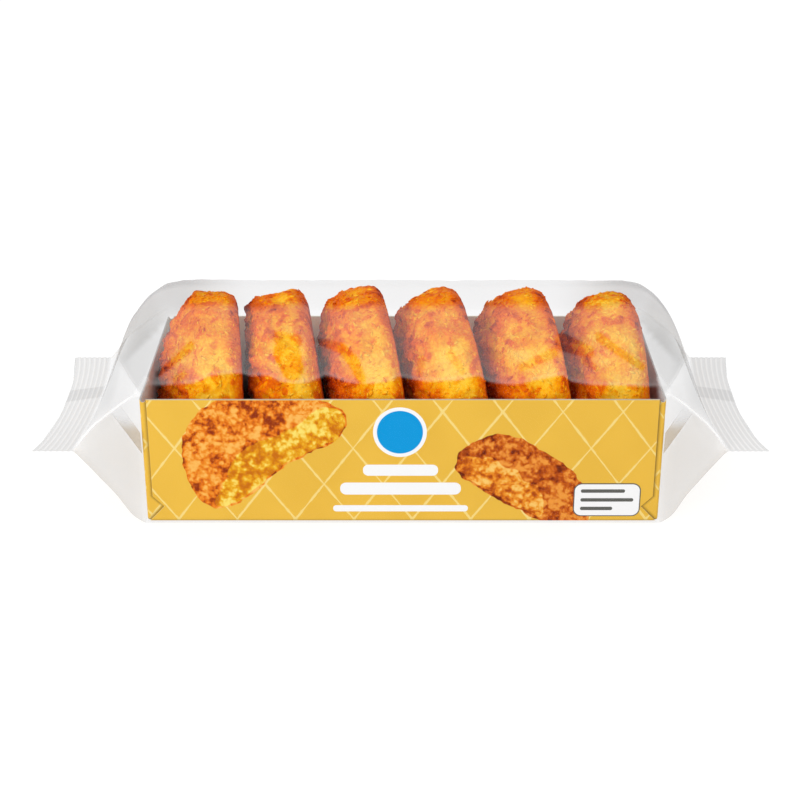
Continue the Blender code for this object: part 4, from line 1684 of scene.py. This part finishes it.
@dataclass
class PrintedFront:
    """Plain printed shapes on the front panel, with the small ones' places and sizes in millimetres."""

    front: float = -37.9 * MM
    lowest: float = 0.9 * MM
    highest: float = 46.1 * MM
    ink: float = 0.03 * MM
    sunk: float = 0.01 * MM
    pictures: tuple[Blob, ...] = (
        Blob("picture_dome", Ink.BAKED_BROWN, 1, 0.9, (
            (-73.5, 25.9), (-72.5, 32.6), (-70.1, 38.1), (-66.6, 42.6), (-60.8, 46.2), (-53.2, 48.6),
            (-41.6, 49.6), (-31.6, 48.6), (-23.4, 45.0), (-18.6, 41.6), (-17.8, 37.4), (-21.6, 31.1),
            (-29.8, 27.0), (-37.3, 22.8), (-44.2, 17.2), (-51.9, 9.9), (-61.0, 5.6), (-67.3, 8.0),
            (-71.4, 15.6))),
        Blob("picture_crumb", Ink.CRUMB_YELLOW, 2, 0.8, (
            (-24.0, 43.6), (-19.6, 41.2), (-18.4, 37.2), (-22.0, 31.6), (-30.0, 27.6), (-37.5, 23.4),
            (-44.6, 17.8), (-52.2, 10.6), (-60.6, 6.4), (-62.8, 8.6), (-60.0, 15.0), (-56.4, 23.2),
            (-50.2, 29.8), (-42.0, 33.0), (-34.5, 37.0), (-29.4, 41.6))),
        Blob("picture_mound", Ink.DARK_BROWN, 1, 0.8, (
            (18.7, 23.2), (20.6, 27.7), (25.9, 31.5), (32.2, 33.7), (40.0, 32.2), (48.5, 27.0), (55.8, 21.7),
            (62.2, 14.9), (65.3, 6.8), (62.2, -1.0), (49.5, 0.2), (40.8, 4.9), (32.2, 9.5), (23.5, 15.6),
            (19.1, 19.4))),
        Blob("picture_mound_light", Ink.LIGHT_BROWN, 2, 0.8, (
            (19.6, 22.6), (22.6, 25.2), (27.0, 24.4), (31.0, 24.8), (35.4, 21.0), (39.0, 20.6), (42.0, 15.8),
            (46.6, 14.0), (48.6, 8.0), (47.6, 2.6), (40.4, 6.0), (32.2, 10.6), (24.0, 16.6), (20.0, 19.8))))
    badge: Pair = (-0.2, 34.4)
    badge_radii: Pair = (9.0, 9.2)
    badge_rim: float = 1.3
    bars: tuple[Triple, ...] = ((20.2, 25.4, 4.2), (13.2, 41.0, 4.6), (5.6, 46.0, 2.4))
    bar_round: float = 0.45
    label: Pair = (70.3, 8.9)
    label_size: Pair = (22.8, 12.6)
    label_rim: float = 0.35
    label_round: float = 2.8
    label_inner_round: float = 2.5
    label_bars: Pairs = ((12.3, 15.0), (8.9, 18.0), (5.6, 11.0))
    label_bar_tall: float = 1.3
    label_bar_round: float = 0.6
    oval_steps: int = 64
    corner_steps: int = 8

    def plate(self, name: str, outline: Sequence[Pair], layer: int, ink: Material) -> None:
        """Lay one printed shape on the panel.

        Args:
            name: The piece's name.
            outline: Its (x, z) outline.
            layer: 1 next to the card, and more for what is printed over it.
            ink: Its material.
        """
        bm = bmesh.new()
        front = self.front - layer * self.ink
        bm.faces.new([bm.verts.new((x, front, z)) for x, z in outline])
        for level, up in ((self.highest, 1), (self.lowest, -1)):
            bmesh.ops.bisect_plane(bm, geom=bm.verts[:] + bm.edges[:] + bm.faces[:], plane_co=(0, 0, level),
                                   plane_no=(0, 0, up), clear_outer=True)
        bmesh.ops.triangulate(bm, faces=bm.faces[:])
        grown = bmesh.ops.extrude_face_region(bm, geom=bm.faces[:])
        moved = [item for item in grown["geom"] if isinstance(item, bmesh.types.BMVert)]
        bmesh.ops.translate(bm, vec=Vector((0, layer * self.ink + self.sunk, 0)), verts=moved)
        bmesh.ops.recalc_face_normals(bm, faces=bm.faces)
        add_piece(name, bm, [ink], smooth=False)

    def oval(self, centre: Pair, radii: Sequence[float]) -> list[Pair]:
        """Outline of an oval, in metres, from a centre and radii in millimetres."""
        angles = [2 * math.pi * step / self.oval_steps for step in range(self.oval_steps)]
        return [((centre[0] + radii[0] * math.cos(angle)) * MM, (centre[1] + radii[1] * math.sin(angle)) * MM)
                for angle in angles]

    def rounded(self, centre: Pair, size: Sequence[float], radius: float) -> list[Pair]:
        """Outline of a rectangle with round corners, in metres, from sizes in millimetres."""
        points = []
        for corner, (right, up) in enumerate(((1, 1), (-1, 1), (-1, -1), (1, -1))):
            x = centre[0] + right * (size[0] / 2 - radius)
            z = centre[1] + up * (size[1] / 2 - radius)
            for step in range(self.corner_steps + 1):
                angle = math.pi / 2 * (corner + step / self.corner_steps)
                points.append(((x + radius * math.cos(angle)) * MM, (z + radius * math.sin(angle)) * MM))
        return points

    def assemble(self) -> None:
        """Print the pictured shapes, the badge, the bars and the label."""
        inks = {ink: InkFinish().material(ink) for ink in Ink}
        white, blue, grey = inks[Ink.WHITE], inks[Ink.BLUE], inks[Ink.GREY]
        for blob in self.pictures:
            self.plate(blob.name, blob.outline(), blob.layer, inks[blob.ink])
        self.plate("badge_rim", self.oval(self.badge, self.badge_radii), 1, white)
        inner = [radius - self.badge_rim for radius in self.badge_radii]
        self.plate("badge_field", self.oval(self.badge, inner), 2, blue)
        for number, (up, wide, tall) in enumerate(self.bars, start=1):
            outline = self.rounded((0.0, up), (wide, tall), tall * self.bar_round)
            self.plate(f"name_bar_{number}", outline, 1, white)
        self.plate("label_rim", self.rounded(self.label, self.label_size, self.label_round), 3, grey)
        inner = [side - 2 * self.label_rim for side in self.label_size]
        self.plate("label_field", self.rounded(self.label, inner, self.label_inner_round), 4, white)
        longest = max(wide for _, wide in self.label_bars)
        for number, (up, wide) in enumerate(self.label_bars, start=1):
            place = (self.label[0] - (longest - wide) / 2, up)
            outline = self.rounded(place, (wide, self.label_bar_tall), self.label_bar_round)
            self.plate(f"label_bar_{number}", outline, 5, grey)


# Studio
@dataclass(frozen=True)
class Softbox:
    """Square area light: its place and side in metres, and its power in watts."""

    name: str
    place: Triple
    size: float
    power: float

    def hang(self, target: Vector) -> None:
        """Hang the light, aimed at a point and left out of glossy reflections."""
        light = bpy.data.lights.new(self.name, "AREA")
        light.shape = "SQUARE"
        light.size = self.size
        light.energy = self.power
        lamp = bpy.data.objects.new(self.name, light)
        lamp.location = self.place
        lamp.rotation_euler = (target - Vector(self.place)).to_track_quat("-Z", "Y").to_euler()
        lamp.visible_glossy = False
        bpy.context.scene.collection.objects.link(lamp)


@dataclass
class Studio:
    """Pale floor, soft light, and the camera at the photograph's angle."""

    camera_place: Triple = (-0.18 * MM, -527.2 * MM, 270.3 * MM)
    camera_down: float = 24.6
    lens: float = 73.1
    sensor: float = 36.0
    nearest: float = 0.01
    floor_half: float = 12.0
    floor_tones: Pair = (0.24, 0.26)
    floor_scale: float = 3.0
    floor_roughness: float = 0.9
    floor_glow: float = 0.81
    white: Colour = (1.0, 1.0, 1.0, 1.0)
    world_strength: float = 0.84
    target: Triple = (0.0, 0.0, 0.03)
    lights: tuple[Softbox, ...] = (Softbox("key", (-0.95, -1.15, 0.62), size=0.9, power=12.0),
                                   Softbox("back", (0.3, 0.9, 0.9), size=0.9, power=2.4))

    def build_floor(self) -> None:
        """Lay the floor."""
        bm = bmesh.new()
        bmesh.ops.create_grid(bm, x_segments=1, y_segments=1, size=self.floor_half)
        mesh = bpy.data.meshes.new("floor")
        bm.to_mesh(mesh)
        bm.free()
        material, bench, shader = new_material("white floor")
        cloud = bench.band(bench.noise(bench.object_point(), self.floor_scale), 0.3, 0.7)
        darker, lighter = ((tone, tone, tone, 1.0) for tone in self.floor_tones)
        bench.feed_all(shader, {"Base Color": bench.mix(cloud, darker, lighter), "Specular IOR Level": 0.0,
                                "Roughness": self.floor_roughness, "Emission Color": self.white,
                                "Emission Strength": self.floor_glow})
        mesh.materials.append(material)
        floor = bpy.data.objects.new("floor", mesh)
        bpy.context.scene.collection.objects.link(floor)

    def set_camera(self) -> None:
        """Set up the camera."""
        camera = bpy.data.cameras.new("camera")
        camera.lens = self.lens
        camera.sensor_width = self.sensor
        camera.clip_start = self.nearest
        stand = bpy.data.objects.new("camera", camera)
        stand.location = self.camera_place
        stand.rotation_euler = (math.radians(90 - self.camera_down), 0.0, 0.0)
        bpy.context.scene.collection.objects.link(stand)
        bpy.context.scene.camera = stand

    def assemble(self) -> None:
        """Set up floor, world, lights and camera."""
        scene = bpy.context.scene
        self.build_floor()
        world = bpy.data.worlds.new("studio")
        world.use_nodes = True
        background = world.node_tree.nodes["Background"]
        background.inputs["Color"].default_value = self.white
        background.inputs["Strength"].default_value = self.world_strength
        scene.world = world
        for light in self.lights:
            light.hang(Vector(self.target))
        self.set_camera()
        scene.view_settings.view_transform = "Standard"


def main() -> None:
    """Build the pack and its studio; each piece logs its face count."""
    logging.basicConfig(level=logging.INFO, format="%(name)s %(message)s")
    noise.seed_set(NOISE_SEED)
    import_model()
    effects = SharedEffects()
    CardTray(effects).assemble()
    PrintedFront().assemble()
    MacaroonRow(effects).assemble()
    film = FilmFinish().material()
    sleeve = FilmSleeve()
    sleeve.build(film)
    # Material of the painted fold lines and flaps: haze and painted light, without gloss.
    painted_fold = FilmFinish("pressed film", through=(1.0, 1.0, 1.0, 1.0), head_on=0.0, grazing=0.0).material()
    FilmFolds(sleeve).assemble(painted_fold)
    Studio().assemble()


if __name__ == "__main__":
    main()
